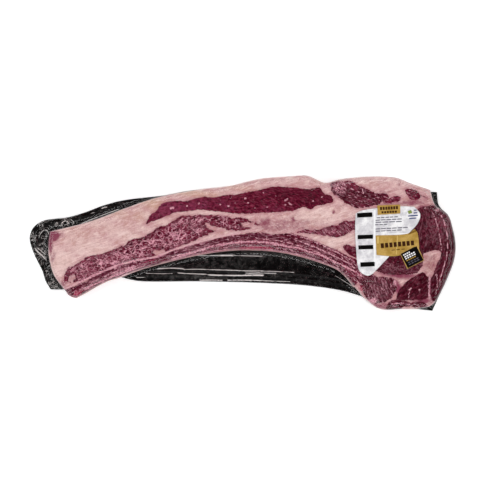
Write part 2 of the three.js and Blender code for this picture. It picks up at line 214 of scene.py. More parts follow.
# Pale seams between layers: a seam's width in millimetres and its path.
PALE_SEAMS = [
    (2.2, [(64, 289.5), (80, 282), (98, 273.5), (118, 265.3), (140, 259.6), (157, 256.6), (172, 250.3),
           (190, 244.7), (205, 240.3), (222, 236), (240, 232.8)]),
    (1.6, [(84, 289), (100, 281.8), (115, 275.3), (135, 267)]),
    (1.4, [(96, 287.5), (112, 280), (128, 273.8)]),
    (2, [(172, 259.5), (190, 253.5), (205, 248.5), (216, 245.3), (228, 243.6), (242, 241.8)]),
    (2.1, [(232, 242.6), (245, 242), (258, 241.8), (272, 243.2), (285, 246)]),
    (1.8, [(285, 246), (300, 248.5), (310, 252), (325, 257), (335, 262), (352, 270), (362, 276)]),
    (1.5, [(205, 252.8), (225, 250.2), (245, 249.4), (270, 250.3), (295, 254.3), (318, 261),
           (338, 269)]),
    (1.2, [(300, 241.5), (318, 248.5), (335, 256.5), (352, 265)]),
    (1.4, [(429.3, 276), (429, 285), (429, 294), (429.6, 300)]),
    (1, [(436.2, 274), (437, 283), (436, 293)]),
    (0.85, [(441, 215), (445.5, 228), (447.5, 242), (446.5, 256), (442.5, 270), (439, 283)]),
    (0.75, [(432, 212), (437, 224), (440, 238), (441.5, 250)]),
    (0.9, [(360, 187), (363, 191), (363.5, 194)]),
    (0.9, [(88, 284.5), (95, 281), (103, 277), (112, 273.2), (122, 269.6), (134, 265.6)]),
    (0.9, [(84, 291), (92, 286), (100, 282), (108, 278.6), (118, 275), (130, 270.5), (146, 265.5)]),
    (0.8, [(80, 296), (92, 290), (104, 284)]),
    (0.9, [(148, 262.5), (160, 259), (172, 256.3), (182, 254.3), (192, 252.3)]),
    (0.9, [(158, 264.6), (170, 261), (182, 257.8), (194, 255.2), (206, 252.8)]),
    (0.8, [(262, 239), (280, 241), (296, 245), (312, 250), (326, 256)]),
    (0.8, [(300, 236.6), (314, 241.5), (328, 248), (342, 255), (354, 262)]),
    (0.9, [(346, 274), (356, 281), (362, 285)]), (0.8, [(352, 266), (360, 272), (368, 276)]),
    (1, [(408.7, 299), (408.6, 293), (410.2, 288)]), (1, [(391, 304), (400, 303.2), (410, 304.4)]),
]

# Dark seams, the same way.
DARK_SEAMS = [
    (3.4, [(66, 290.3), (76, 286.5), (92, 279.5), (112, 270), (132, 263), (155, 259.7), (172, 254.2),
           (190, 248.2), (210, 243.4), (230, 238.8), (246, 236.4), (262, 236.2), (276, 238)]),
    (2.2, [(86, 291.5), (104, 282.8), (124, 273.6), (138, 268.3), (158, 263.4)]),
    (3, [(236, 247), (256, 247), (275, 248), (295, 251.5), (308, 255.2), (322, 260), (338, 267.8)]),
    (2.4, [(276, 238), (295, 240.5), (312, 246.5), (330, 254.5), (346, 262), (362, 272)]),
    (1.4, [(147, 223.5), (146, 218), (149, 213), (153, 210)]),
    (1.2, [(132, 216), (135, 212.5), (139, 211.5)]),
    (2.2, [(383, 270.8), (395, 270.3), (406, 271), (415, 272)]),
    (1.6, [(361, 279), (368, 278.5), (374, 277)]),
]

# Round marks: x, y, half width and half height in pixels, turn in degrees, strength. First
# the pale flecks of fat in the lean.
PALE_FLECKS = [
    (172, 208, 2.4, 1.3, 10, 0.95), (187, 206, 1.2, 0.9, 0, 0.8), (199, 203.5, 1.3, 0.8, 20, 0.85),
    (220, 204.5, 1.2, 0.9, 0, 0.8), (228.5, 206, 1.3, 1, 0, 0.8), (245.5, 198.5, 1.1, 1.2, 0, 0.9),
    (248, 203, 1.2, 0.8, 30, 0.75), (263.5, 193, 1, 0.8, 0, 0.75), (267, 207, 1.3, 0.8, 0, 0.7),
    (286, 200, 2.6, 1, 35, 0.85), (290, 204, 2.4, 0.9, -40, 0.8), (285, 205, 1.4, 0.8, 0, 0.7),
    (313, 201, 1.2, 0.8, 0, 0.7), (336, 188, 3.4, 3.6, 0, 0.3), (341, 192, 3, 2.6, 0, 0.25),
    (334, 193, 2, 2, 0, 0.25), (410, 289, 1.6, 1, 30, 0.8), (419.5, 290, 1.3, 1.1, 0, 0.75),
    (372, 301, 6, 3.5, 20, 0.75), (396, 282, 3, 5, -35, 0.7), (389, 265, 9, 1.6, -8, 0.36),
    (437, 210, 4, 2.5, 40, 0.5), (426, 208, 3, 2, 0, 0.4), (445, 290, 3, 4, 30, 0.25),
    (302, 192, 1.2, 0.8, 0, 0.5), (322, 197, 1.8, 1, 30, 0.55), (318, 200, 1, 1.4, 0, 0.5),
    (157, 214, 5, 5, 0, 0.16), (235, 203, 0.9, 0.7, 0, 0.6), (255, 208, 1, 0.7, 0, 0.5),
    (276, 196, 0.9, 0.8, 0, 0.55), (180, 204, 0.8, 0.7, 0, 0.5),
]

# Reddish or mauve stains in the fat.
STAINS = [
    (265, 223, 8, 6, 20, 0.7), (293, 219.5, 2.6, 3.6, 30, 0.7), (308, 220, 3.4, 1, 0, 0.45),
    (333.5, 212, 1.6, 1.9, 0, 0.95), (54, 236, 6.5, 5, 10, 1.35), (50.5, 245, 3, 9, 0, 0.95),
    (275, 228, 18, 4, 0, 0.6), (250, 228, 8, 2.4, 0, 0.35), (288, 224, 40, 8, 0, 0.45),
    (71.5, 278.5, 4, 4, 0, 0.5), (120, 236, 4, 2, -15, 0.15), (355, 235, 5, 8, 0, 0.3),
    (53, 258, 2.4, 9, -12, 0.5), (399, 184, 1.5, 3.4, 0, 0.45), (377, 187, 1.2, 1, 0, 0.4),
    (412, 203, 16, 3, 0, 0.75), (374, 304, 10, 4, 20, 0.6), (342, 206, 7, 3, 20, 0.3),
    (64, 283, 5, 4, 0, 0.55), (424, 208, 8, 4, 0, 0.8), (430, 263, 8, 12, 0, 0.56),
    (398, 289, 4, 11, 25, 1.1), (400, 275, 22, 4, -6, 0.95), (430, 288, 3, 14, 0, 1),
    (382, 306, 14, 4, 0, 0.75), (423, 301, 14, 3, 0, 0.9), (326, 186, 6, 3, 0, 0.3),
    (59, 235, 6, 4, 0, 0.6), (388, 267, 14, 4, 0, 0.6), (437, 206, 8, 3, 30, 0.7),
    (386, 192, 16, 3, 8, 0.3), (424, 199, 8, 5, 0, 0.4), (352, 216, 6, 5, 0, 0.3),
]

# Where the meat has stayed bright red: at the rib's sawn tip, by the backbone and in seams.
BLOOMS = [
    (77.5, 293, 5.5, 3, 10, 1), (86, 290, 5, 1.6, 24, 0.5), (360.5, 288, 3, 4, 30, 0.85),
    (70, 289.5, 4, 1.2, 10, 0.5), (371, 299, 5, 3, 20, 0.5), (352, 281, 3, 3, 40, 0.4),
    (150, 261, 8, 1.6, 15, 0.75), (257, 248, 22, 1.9, 0, 0.95), (220, 251.8, 15, 1.7, 8, 0.8),
]

# Where the fat is pale cream, and where it is tan, rather than pink.
CREAM_ZONES = [
    (62, 262, 15, 14, 0, 1), (92, 249, 30, 10, -16, 0.85), (78, 238, 24, 12, 0, 0.35),
    (128, 236, 22, 8, -25, 0.75), (160, 221, 14, 4, -25, 0.8), (115, 224, 30, 8, -16, 0.35),
    (335, 241, 20, 8, 15, 1), (318, 216, 24, 9, 0, 0.9), (345, 212, 9, 8, 0, 0.5),
    (205, 211.5, 36, 3, 0, 0.6), (385, 183, 22, 5, 0, 0.2), (300, 180, 30, 3, 0, 0.2),
]
TAN_ZONES = [
    (155, 204, 18, 7, -20, 1), (195, 193.5, 42, 4, -8, 1), (240, 188, 30, 3, -8, 0.6),
    (118, 213, 16, 6, -16, 0.6), (75, 233, 22, 8, -8, 0.3), (100, 225, 20, 6, -15, 0.3),
    (140, 216, 10, 6, 0, 0.6), (430, 263, 8, 10, 0, 0.5), (325, 180, 9, 4, 0, 0.4),
    (365, 183, 12, 4, 0, 0.3),
]

# Where fat is scattered through the lean as crumbs, and where the lean is deeper or lighter.
MINCED = [
    (84, 273, 22, 10, -22, 0.4), (118, 257, 10, 5, -20, 0.45), (190, 225, 16, 6, -12, 0.3),
    (339, 188, 7, 6, 0, 1.3), (250, 247, 40, 5, 0, 0.35), (330, 232, 20, 5, 10, 0.3),
    (378, 290, 14, 12, 0, 0.3), (130, 270, 50, 6, -20, 0.5), (200, 251, 40, 4, -14, 0.5),
    (310, 256, 40, 5, 18, 0.4), (438, 225, 14, 20, 0, 0.25), (400, 268, 26, 5, 0, 0.25),
]
DEEPER = [
    (306, 197, 34, 12, 0, 0.35), (262, 200, 26, 9, 0, 0.15), (120, 273, 40, 4, -20, 0.2),
    (436, 246, 12, 12, 0, 0.2),
]
LIGHTER = [
    (112, 275, 34, 6, -20, 0.3), (145, 265, 20, 3, -18, 0.45), (78, 287, 12, 4, -20, 0.2),
    (437, 226, 9, 12, 0, 0.2), (165, 209, 22, 8, 0, 0.35), (200, 205, 20, 8, 0, 0.15),
    (356, 184, 20, 4, 0, 0.2),
]

# Where the film over the meat is drawn into creases.
TIGHT_ZONES = [
    (110, 230, 45, 14, -16, 0.7), (62, 262, 12, 22, 0, 0.6), (322, 190, 14, 8, 0, 0.8),
    (410, 196, 22, 7, -10, 0.9), (440, 212, 12, 12, 0, 0.9), (370, 290, 16, 14, 0, 0.7),
    (300, 250, 55, 6, 8, 0.7), (150, 262, 60, 6, -18, 0.6), (446, 275, 10, 22, 0, 0.6),
    (280, 226, 40, 10, 0, 0.4), (200, 192, 40, 5, -8, 0.5),
]

# Sharp folds of the film, with a painted highlight along their crests: width in millimetres and path.
FILM_CREASES = [
    (1, [(34.5, 248.5), (37, 251.3), (39.5, 253.8), (42.5, 256.8), (46, 260.5)]),
    (0.6, [(37.5, 248.2), (41, 251.4), (45, 254.6)]),
    (0.7, [(39.5, 234.5), (41.5, 231.5), (44.5, 230), (47, 231), (48, 234)]),
    (0.9, [(61.5, 222.8), (64, 221), (66.5, 221.3), (68, 223)]), (0.8, [(64.5, 225), (67, 223.8)]),
    (0.8, [(71, 220), (73, 221.8), (72.3, 224.3)]),
    (0.7, [(76, 225.2), (82, 223), (88, 220.6), (97, 217), (106, 213.6), (118, 209.2)]),
    (1.3, [(101.5, 208.3), (103.5, 207.5), (106, 207)]), (0.6, [(90.5, 213.2), (94, 212.4)]),
    (1.3, [(158, 268.8), (166, 268.4), (175, 268.3), (183, 268.8)]),
    (0.9, [(184, 269.6), (198, 269.3), (212, 269.8), (230, 270.3), (246, 270.9), (262, 271)]),
    (1, [(178, 273), (186, 273.6), (196, 274), (206, 274.4)]),
    (1.5, [(208, 274.9), (220, 275.4), (240, 275.6), (255, 275.4), (263, 275.6)]),
    (1, [(200, 280.3), (212, 280.2), (222, 280.4)]), (1.1, [(228, 280.3), (244, 280.2), (262, 280.7)]),
    (0.6, [(262, 280.8), (290, 281.8)]), (0.6, [(246, 273.3), (262, 273.2), (276, 273.8)]),
    (0.6, [(262, 271), (285, 272), (294, 272.5)]), (0.8, [(198, 255.8), (208, 255.7), (216, 255.5)]),
    (0.7, [(234, 255.6), (262, 256.2)]), (1.8, [(217, 255.6), (226, 255.5), (233, 255.6)]),
    (0.6, [(136, 277.6), (144, 277.5)]), (0.6, [(146, 273.4), (160, 273.8), (172, 273.6)]),
    (0.6, [(345, 276), (350, 282), (356, 288.5)]), (0.5, [(336, 276), (344, 281), (352, 286)]),
    (0.5, [(404, 181), (414, 185.5), (424, 190.5), (430, 196), (434, 203), (439, 208.5), (444, 214)]),
]

# Where the film stands clear of the tray: a painted grey sheen over the black, in mottled patches.
PAINTED_SHEEN_PATCHES = [
    (215, 259, 30, 5, 0, 0.9), (258, 255.5, 14, 4, 0, 1.3), (298, 258, 30, 5, -12, 1),
    (205, 266, 26, 3, 0, 0.6), (228, 266, 16, 4, 0, 0.6), (50, 275, 4, 12, -10, 0.45),
    (38, 254, 5, 4, 40, 0.35), (200, 277.5, 24, 2.4, 0, 1), (168, 276, 20, 3, 0, 0.5),
    (52, 287, 4, 3, 0, 0.3), (170, 263, 9, 3, -16, 0.4), (275, 273, 16, 2, 0, 0.6),
    (448, 230, 3, 16, 0, 0.2),
]

LABEL_SIDES = {
    "label_silver": {
        "lower": [(362, 273.5), (366, 275.3), (369, 275.5), (372.5, 273.8)],
        "upper": [(355.5, 213.5), (361, 210.8), (376, 208.3), (400, 206.3), (414, 206.8)],
        "left": [(362, 273.5), (358.6, 269.5), (356, 250), (355, 230), (355.5, 213.5)],
        "right": [(372.5, 273.8), (388, 257.5), (408, 234), (418, 222.5), (420, 214), (414, 206.8)]},
    "label_gold": {
        "lower": [(376.3, 255), (396, 256), (419, 249)],
        "upper": [(375.5, 235.5), (407.5, 233.6), (414.5, 229.4), (417.5, 233)],
        "left": [(376.3, 255), (375.5, 235.5)],
        "right": [(419, 249), (418.6, 241), (417.5, 233)]},
    "label_crest": {
        "lower": [(377.5, 215), (400.2, 213.5)],
        "upper": [(377, 205.5), (400, 204.5)],
        "left": [(377.5, 215), (377, 205.5)],
        "right": [(400.2, 213.5), (400, 204.5)]},
    "label_badge": {
        "lower": [(407, 269), (424, 260.3)],
        "upper": [(399.5, 253), (417.3, 245.8)],
        "left": [(407, 269), (399.5, 253)],
        "right": [(424, 260.3), (417.3, 245.8)]},
}
LABELS_BENEATH = {
    "label_silver": [],
    "label_gold": ["label_silver"],
    "label_crest": ["label_silver"],
    "label_badge": ["label_silver", "label_gold"],
}
BADGE_MIDDLE = (411.9, 257.0)
BADGE_TURN = 27


# ------------------------------------------------------------------------- flat geometry
def on_table(points):
    """Photo pixels to metres: x to the right, y up the photo, about the pack's centre."""
    offset = (np.asarray(points, float) - PHOTO_CENTRE) * PIXEL
    return offset * (1, -1)


def smoothstep(value, low, high):
    """0 below low, 1 above high, and an S between them."""
    t = np.clip((value - low) / (high - low), 0, 1)
    return t * t * (3 - 2 * t)


def spline(points, closed=False, per_span=14):
    """Centripetal Catmull-Rom curve: each span is a cubic whose end slopes come from the
    neighbouring points, weighted by the square root of their distances."""
    p = np.asarray(points, float)
    if closed:
        p = np.vstack([p[-1], p, p[0], p[1]])
    else:
        p = np.vstack([2 * p[0] - p[1], p, 2 * p[-1] - p[-2]])
    gap = np.sqrt(np.linalg.norm(np.diff(p, axis=0), axis=1))[:, None]
    p0, p1, p2, p3 = p[:-3], p[1:-2], p[2:-1], p[3:]
    d0, d1, d2 = gap[:-2], gap[1:-1], gap[2:]
    m1 = ((p1 - p0) / d0 - (p2 - p0) / (d0 + d1) + (p2 - p1) / d1) * d1
    m2 = ((p2 - p1) / d1 - (p3 - p1) / (d1 + d2) + (p3 - p2) / d2) * d1
    t = (np.arange(per_span) / per_span)[:, None, None]
    h = (p1 + m1 * t + (-3 * p1 + 3 * p2 - 2 * m1 - m2) * t ** 2
         + (2 * p1 - 2 * p2 + m1 + m2) * t ** 3)
    curve = h.transpose(1, 0, 2).reshape(-1, p.shape[1])
    return curve if closed else np.vstack([curve, p[-2]])


def run_along(curve):
    """Length of a polyline from its start to each of its points."""
    return np.r_[0, np.cumsum(np.linalg.norm(np.diff(curve, axis=0), axis=1))]


def at_shares(curve, shares):
    """Points of a polyline at shares of its length."""
    run = run_along(curve)
    where = np.clip(shares, 0, 1) * run[-1]
    return np.stack([np.interp(where, run, column) for column in curve.T], -1)


def sides_of(places):
    """The four sides of a patch as curves on the table."""
    return {name: spline(on_table(points)) for name, points in places.items()}


def loop_of(sides, steps=120):
    """The closed outline of four sides, counter-clockwise from the lower left corner."""
    share = np.arange(steps) / steps
    lower, right = at_shares(sides["lower"], share), at_shares(sides["right"], share)
    upper, left = at_shares(sides["upper"], 1 - share), at_shares(sides["left"], 1 - share)
    return np.vstack([lower, right, upper, left])


def near_to(outline, reach, x, y):
    """Whether each point lies in an outline's bounding box, widened by reach."""
    low, high = outline.min(0) - reach, outline.max(0) + reach
    return (x > low[0]) & (x < high[0]) & (y > low[1]) & (y < high[1])


def segment_distances(a, b, x, y):
    """Smallest distance from each point to a set of segments a-b."""
    flat = np.stack([np.ravel(x), np.ravel(y)], -1)
    best = np.full(len(flat), np.inf)
    for start, end in zip(a, b):
        run = end - start
        t = np.clip((flat - start) @ run / max(run @ run, 1e-18), 0, 1)
        best = np.minimum(best, ((flat - start - t[:, None] * run) ** 2).sum(1))
    return np.sqrt(best).reshape(np.shape(x))


def signed_distance(loop, x, y):
    """Distance to a closed outline: positive inside it, negative outside."""
    after = np.roll(loop, -1, axis=0)
    inside = np.zeros(np.shape(x), bool)
    for (ax, ay), (bx, by) in zip(loop, after):
        if ay != by:
            inside ^= ((ay > y) != (by > y)) & (x < ax + (y - ay) * (bx - ax) / (by - ay))
    return np.where(inside, 1, -1) * segment_distances(loop, after, x, y)


def depth_near(loop, x, y):
    """Depth inside an outline, worked out within reach of it alone and -reach beyond."""
    near = near_to(loop, MAP_REACH, x, y)
    depth = np.full(np.shape(x), -MAP_REACH)
    depth[near] = np.maximum(signed_distance(loop, x[near], y[near]), -MAP_REACH)
    return depth


def stations(length, borders, cells):
    """Shares along a length: first the border distances, then even cells, mirrored."""
    near = np.asarray(borders) / length
    start = near[-1] if len(near) else 0
    middle = start + (1 - 2 * start) * np.arange(1, cells) / cells
    return np.r_[0, near, middle, 1 - near[::-1], 1]


def ruled_between(lower, upper, left, right, u, v):
    """A Coons patch: the two long sides ruled together plus the two short sides ruled
    together, less the surface ruled between the four corners."""
    low = lower[0] * (1 - u) + lower[-1] * u
    high = upper[0] * (1 - u) + upper[-1] * u
    ruled = lower[:, None] * (1 - v) + upper[:, None] * v
    turned = left * (1 - u) + right * u
    return ruled + turned - (low * (1 - v) + high * v)


def patch(sides, borders, columns, rows):
    """Grid over four sides, a Coons patch, with each point's run along the lower side and
    its rise over it."""
    u = stations(run_along(sides["upper"])[-1], borders, columns)
    lower, upper = at_shares(sides["lower"], u), at_shares(sides["upper"], u)
    widths = np.linalg.norm(upper - lower, axis=1)
    v = np.stack([stations(width, borders, rows) for width in widths])
    left, right = at_shares(sides["left"], v), at_shares(sides["right"], v)
    grid = ruled_between(lower, upper, left, right, u[:, None, None], v[:, :, None])
    run = u[:, None] * run_along(sides["lower"])[-1] * np.ones_like(v)
    return grid, run, v * widths[:, None]


def ring_floor(ring, rows, columns):
    """Grid inside a closed ring that is laid out like rim_of: its four sides as a Coons
    patch, by their own shares of length."""
    lower, right = ring[:rows], ring[rows - 1:rows + columns - 1]
    upper = ring[rows + columns - 2:2 * rows + columns - 2][::-1]
    left = np.vstack([ring[:1], ring[2 * rows + columns - 3:][::-1]])
    u, v = run_along(lower), run_along(left)
    u, v = (u / u[-1])[:, None, None], (v / v[-1])[None, :, None]
    return ruled_between(lower, upper, left, right, u, v).reshape(-1, 2)


def wobble(x, y, size, seed):
    """Smooth noise from -1 to 1: random heights on a lattice of that size, eased between."""
    rng = np.random.default_rng(seed)
    lattice = rng.uniform(-1, 1, (97, 89))
    gx, gy = x / size + 400.5, y / size + 400.5
    ix, iy = np.floor(gx).astype(int), np.floor(gy).astype(int)
    fx, fy = smoothstep(gx - ix, 0, 1), smoothstep(gy - iy, 0, 1)
    corner = [[lattice[(ix + i) % 97, (iy + j) % 89] for j in (0, 1)] for i in (0, 1)]
    low = corner[0][0] * (1 - fx) + corner[1][0] * fx
    high = corner[0][1] * (1 - fx) + corner[1][1] * fx
    return low * (1 - fy) + high * fy


def turned_about(px, py, turn, x, y):
    """Distances from a place in the photo, along and across a direction turned by degrees."""
    cx, cy = on_table([(px, py)])[0]
    cos, sin = math.cos(math.radians(turn)), math.sin(math.radians(turn))
    return (x - cx) * cos + (y - cy) * sin, (y - cy) * cos - (x - cx) * sin


def spots(marks, x, y):
    """The strongest of some soft ellipses, each its strength at its middle and gone at
    about twice its size."""
    total = np.zeros(np.shape(x))
    for px, py, half_w, half_h, turn, strength in marks:
        along, across = turned_about(px, py, turn, x, y)
        reach = (along / (half_w * PIXEL)) ** 2 + (across / (half_h * PIXEL)) ** 2
        total = np.maximum(total, strength * np.exp(-reach ** 1.3 * 0.9))
    return total


def seams(paths, x, y):
    """1 on a seam's middle, falling off over its width."""
    total = np.zeros(np.shape(x))
    for width, points in paths:
        line = spline(on_table(points), per_span=5)
        near = near_to(line, 3 * width * MM, x, y)
        away = segment_distances(line[:-1], line[1:], x[near], y[near]) / (width * MM)
        total[near] = np.maximum(total[near], np.exp(-(away * 1.25) ** 2))
    return total


def fold_fields(paths, x, y):
    """For each place, how far sideways the nearest fold lies, in fold widths and with a
    sign for its side, and 1 beside a fold falling to 0 about a millimetre away."""
    sideways = np.full(np.shape(x), FOLD_REACH)
    nearest = sideways * MM
    beside = np.zeros(np.shape(x))
    for width, points in paths:
        line = spline(on_table(points), per_span=5)
        mine = np.flatnonzero(near_to(line, FOLD_REACH * MM, x, y))
        place = np.stack([x[mine], y[mine]], -1)
        for start, end in zip(line[:-1], line[1:]):
            run = end - start
            t = np.clip((place - start) @ run / (run @ run), 0, 1)
            gap = place - start - t[:, None] * run
            away = np.linalg.norm(gap, axis=1)
            closer = away < nearest[mine]
            side = np.sign(run[0] * gap[:, 1] - run[1] * gap[:, 0])
            sideways[mine[closer]] = (side * away)[closer] / (width * MM)
            nearest[mine[closer]] = away[closer]
            reach = (0.5 * width + 0.3) * MM
            near = 1 - smoothstep(away, reach, reach + 0.7 * MM)
            beside[mine] = np.maximum(beside[mine], near)
    return np.clip(sideways, -FOLD_REACH, FOLD_REACH), beside


# ------------------------------------------------------------------------ mesh building
def add_piece(name, points, faces):
    """A smooth mesh object at the origin from a point array and a list of face index
    arrays."""
    mesh = bpy.data.meshes.new(name)
    loops = np.concatenate([np.asarray(f).ravel() for f in faces])
    sizes = np.concatenate([np.full(len(f), np.shape(f)[1]) for f in faces])
    mesh.vertices.add(len(points))
    mesh.vertices.foreach_set("co", np.asarray(points, np.float32).ravel())
    mesh.loops.add(len(loops))
    mesh.loops.foreach_set("vertex_index", loops.astype(np.int32))
    mesh.polygons.add(len(sizes))
    mesh.polygons.foreach_set("loop_start", np.r_[0, np.cumsum(sizes)[:-1]].astype(np.int32))
    mesh.polygons.foreach_set("use_smooth", np.ones(len(sizes), bool))
    mesh.update(calc_edges=True)
    mesh.validate()
    piece = bpy.data.objects.new(name, mesh)
    bpy.context.scene.collection.objects.link(piece)
    return piece


def paint(piece, name, values):
    """Stores one number or one vector for each vertex, for the material to read."""
    values = np.asarray(values, np.float32)
    kind = "FLOAT" if values.ndim == 1 else "FLOAT_VECTOR"
    field = piece.data.attributes.new(name, kind, "POINT")
    field.data.foreach_set("value" if kind == "FLOAT" else "vector", values.ravel())


def quads(rows, columns):
    """Faces of a grid whose point (i, j) is number i * columns + j."""
    i, j = np.meshgrid(np.arange(rows - 1), np.arange(columns - 1), indexing="ij")
    a = (i * columns + j).ravel()
    return np.stack([a, a + columns, a + columns + 1, a + 1], -1)


def bands(rings):
    """Faces between closed rings of equal length, lowest ring first, where the rings run
    counter-clockwise seen from the last one's side."""
    faces = []
    for low, high in zip(rings[:-1], rings[1:]):
        faces.append(np.stack([low, np.roll(low, -1), np.roll(high, -1), high], -1))
    return np.vstack(faces)


def rim_of(rows, columns):
    """Point numbers round a grid's edge, counter-clockwise from its first corner."""
    grid = np.arange(rows * columns).reshape(rows, columns)
    return np.r_[grid[:, 0], grid[-1, 1:], grid[-2::-1, -1], grid[0, -2:0:-1]]


def rings_from(rim, start, count):
    """The rim's point numbers, then those of rings as long as it, stored in a row."""
    return [rim] + [start + k * len(rim) + np.arange(len(rim)) for k in range(count)]


def two_faced(shape, top, low):
    """A slab: a grid of points above, the same grid below, and the band that joins them."""
    rim, under = rim_of(*shape), len(top) + quads(*shape)[:, ::-1]
    return np.vstack([top, low]), [quads(*shape), under, bands([len(top) + rim, rim])]


def round_smooth(values, reach):
    """Running mean over a closed ring of values."""
    kernel = np.hanning(2 * reach + 3)[1:-1]
    kernel /= kernel.sum()
    padded = np.concatenate([values[-reach:], values, values[:reach]])
    return np.stack([np.convolve(column, kernel, "valid") for column in padded.T], -1)


def outward_of(ring):
    """Unit normals of a closed counter-clockwise ring, pointing out of it."""
    along = np.roll(ring, -1, axis=0) - np.roll(ring, 1, axis=0)
    out = round_smooth(np.stack([along[:, 1], -along[:, 0]], -1), 4)
    return out / np.linalg.norm(out, axis=1)[:, None]


def edge_drop(depth, radius):
    """How far a rounded edge, slightly squarer than a circle, has dropped at this depth."""
    short = np.clip(1 - depth / radius, 0, 1)
    return radius * (1 - (1 - short ** 2.5) ** 0.4)


# --------------------------------------------------------------------- the cut meat's map
steak_sides, tray_sides = sides_of(STEAK_SIDES), sides_of(TRAY_SIDES)
steak_loop, tray_loop = loop_of(steak_sides), loop_of(tray_sides)
label_sides = {name: sides_of(places) for name, places in LABEL_SIDES.items()}
label_loops = {name: loop_of(sides, 24) for name, sides in label_sides.items()}
muscle_loops = [spline(on_table(m["outline"]), True, 4) for m in MUSCLES.values()]
island_loops = [spline(on_table(points), True, 4) for points in FAT_ISLANDS]


def meat_map(x, y):
    """What lies at each place of the cut face: depth into lean, the nearest muscle's
    traits and grain direction, and the marks."""
    depths = np.stack([depth_near(loop, x, y) for loop in muscle_loops])
    owner = depths.argmax(0)
    fat = np.max([depth_near(loop, x, y) for loop in island_loops], 0)
    traits = np.array([[m["marble"], m["streak"], m["dark"], m["turn"]]
                       for m in MUSCLES.values()])
    marble, streak, dark, turn = traits[owner].T
    return {
        "lean": np.minimum(depths.max(0), -fat),
        "dark": dark + spots(DEEPER, x, y) - spots(LIGHTER, x, y),
        "pale_seam": seams(PALE_SEAMS, x, y),
        "dark_seam": seams(DARK_SEAMS, x, y),
        "fleck": spots(PALE_FLECKS, x, y),
        "stain": spots(STAINS, x, y),
        "bloom": spots(BLOOMS, x, y),
        "cream": spots(CREAM_ZONES, x, y),
        "tan": spots(TAN_ZONES, x, y),
        "traits": np.stack([marble, streak, spots(MINCED, x, y)], -1),
        "turn": np.radians(turn),
        "owner": owner,
    }


def label_clear(x, y):
    """0 under the stickers, where the film is held flat, and 1 away from them."""
    inside = np.max([depth_near(loop, x, y) for loop in label_loops.values()], 0)
    return smoothstep(-inside, 3 * MM, 11 * MM)


def steak_relief(x, y, here):
    """Height over the plain cut: muscles stand proud, seams sink, fat waves softly."""
    rise = 0.9 * MM * smoothstep(here["lean"], -1.5 * MM, 5 * MM)
    sink = 0.25 * MM * here["pale_seam"] + 0.35 * MM * here["dark_seam"]
    wave = 0.5 * MM * wobble(x, y, 24 * MM, 5) + 0.3 * MM * wobble(x, y, 11 * MM, 6)
    fine = 0.12 * MM * wobble(x, y, 4.2 * MM, 7)
    return label_clear(x, y) * (rise - sink + fine) + wave - 0.7 * MM


def steak_top(x, y, here):
    """Height of the cut face: flat, with a rounded edge and the relief."""
    depth = signed_distance(steak_loop, x, y)
    inland = smoothstep(depth, 0, TOP_EDGE_RADIUS)
    flat = STEAK_LOW + STEAK_THICKNESS - edge_drop(depth, TOP_EDGE_RADIUS)
    return flat + inland * steak_relief(x, y, here)


steak_grid, steak_run, steak_rise = patch(steak_sides, EDGE_ROWS, *STEAK_CELLS)
STEAK_SHAPE = steak_grid.shape[:2]
steak_flat = steak_grid.reshape(-1, 2)
steak_here = meat_map(*steak_flat.T)
steak_high = steak_top(*steak_flat.T, steak_here)
steak_rim = rim_of(*STEAK_SHAPE)
rim_place = steak_flat[steak_rim]
rim_out = outward_of(rim_place)
rim_run, rim_rise = steak_run.ravel()[steak_rim], steak_rise.ravel()[steak_rim]
HOLLOW_LENGTH = run_along(steak_sides["lower"])[-1]  # the steak's hollow lower edge


def past_rim(outward, z):
    """A ring of points this far outside the steak's rim, at this height."""
    place = rim_place + rim_out * np.broadcast_to(outward, len(rim_run))[:, None]
    return np.column_stack([place, np.broadcast_to(z, len(rim_run))])


def rib_window():
    """1 for the rim's points where the rib shows in the side, else 0."""
    shown = (rim_rise == 0) & (rim_run < RIB_SHARE * HOLLOW_LENGTH)
    return round_smooth(shown.astype(float)[:, None], 6)[:, 0]


def meat_surface():
    """The closed steak: the relief of its cut face, side rings that bulge and wander a
    little inside the outline, a rounded lower edge and a flat underside. Also how far
    below the rim each ring lies along the surface, and the underside's places."""
    points, downs = [np.column_stack([steak_flat, steak_high])], []
    window = rib_window()
    for z in np.linspace(WALL_TOP, WALL_LOW, WALL_RINGS)[1:]:
        belly = 0.5 * MM * (1 - math.sin(math.pi * (z - WALL_LOW) / (WALL_TOP - WALL_LOW)))
        wander = 0.9 * MM * (1 + wobble(rim_run, rim_rise + 3 * z, 17 * MM, 21)) / 2
        wander += 0.35 * MM * (1 + wobble(rim_run, rim_rise + 3 * z, 6 * MM, 22)) / 2
        groove = sum(math.exp(-((z - edge) / (1.3 * MM)) ** 2) for edge in RIB_GROOVES)
        inset = belly + wander + window * groove * 1.4 * MM
        points.append(past_rim(-inset * smoothstep(WALL_TOP - z, 0, 5 * MM), z))
        downs.append(WALL_TOP - z)
    last = points[-1][:, :2]
    for angle in BOTTOM_ANGLES:
        inset = BOTTOM_TUCK * (1 - math.cos(angle))
        z = WALL_LOW - BOTTOM_EDGE_RADIUS * math.sin(angle)
        points.append(np.column_stack([last - rim_out * inset, np.full(len(last), z)]))
        downs.append(WALL_TOP - WALL_LOW + BOTTOM_EDGE_RADIUS * angle)
    under = ring_floor(last - rim_out * BOTTOM_TUCK, *STEAK_SHAPE)
    points.append(np.column_stack([under, np.full(len(under), STEAK_LOW)]))
    below = len(steak_flat) + len(downs) * len(steak_rim)
    rings = rings_from(steak_rim, len(steak_flat), len(downs)) + [below + steak_rim]
    faces = [quads(*STEAK_SHAPE), bands(rings[::-1]), below + quads(*STEAK_SHAPE)[:, ::-1]]
    return np.vstack(points), faces, downs, under


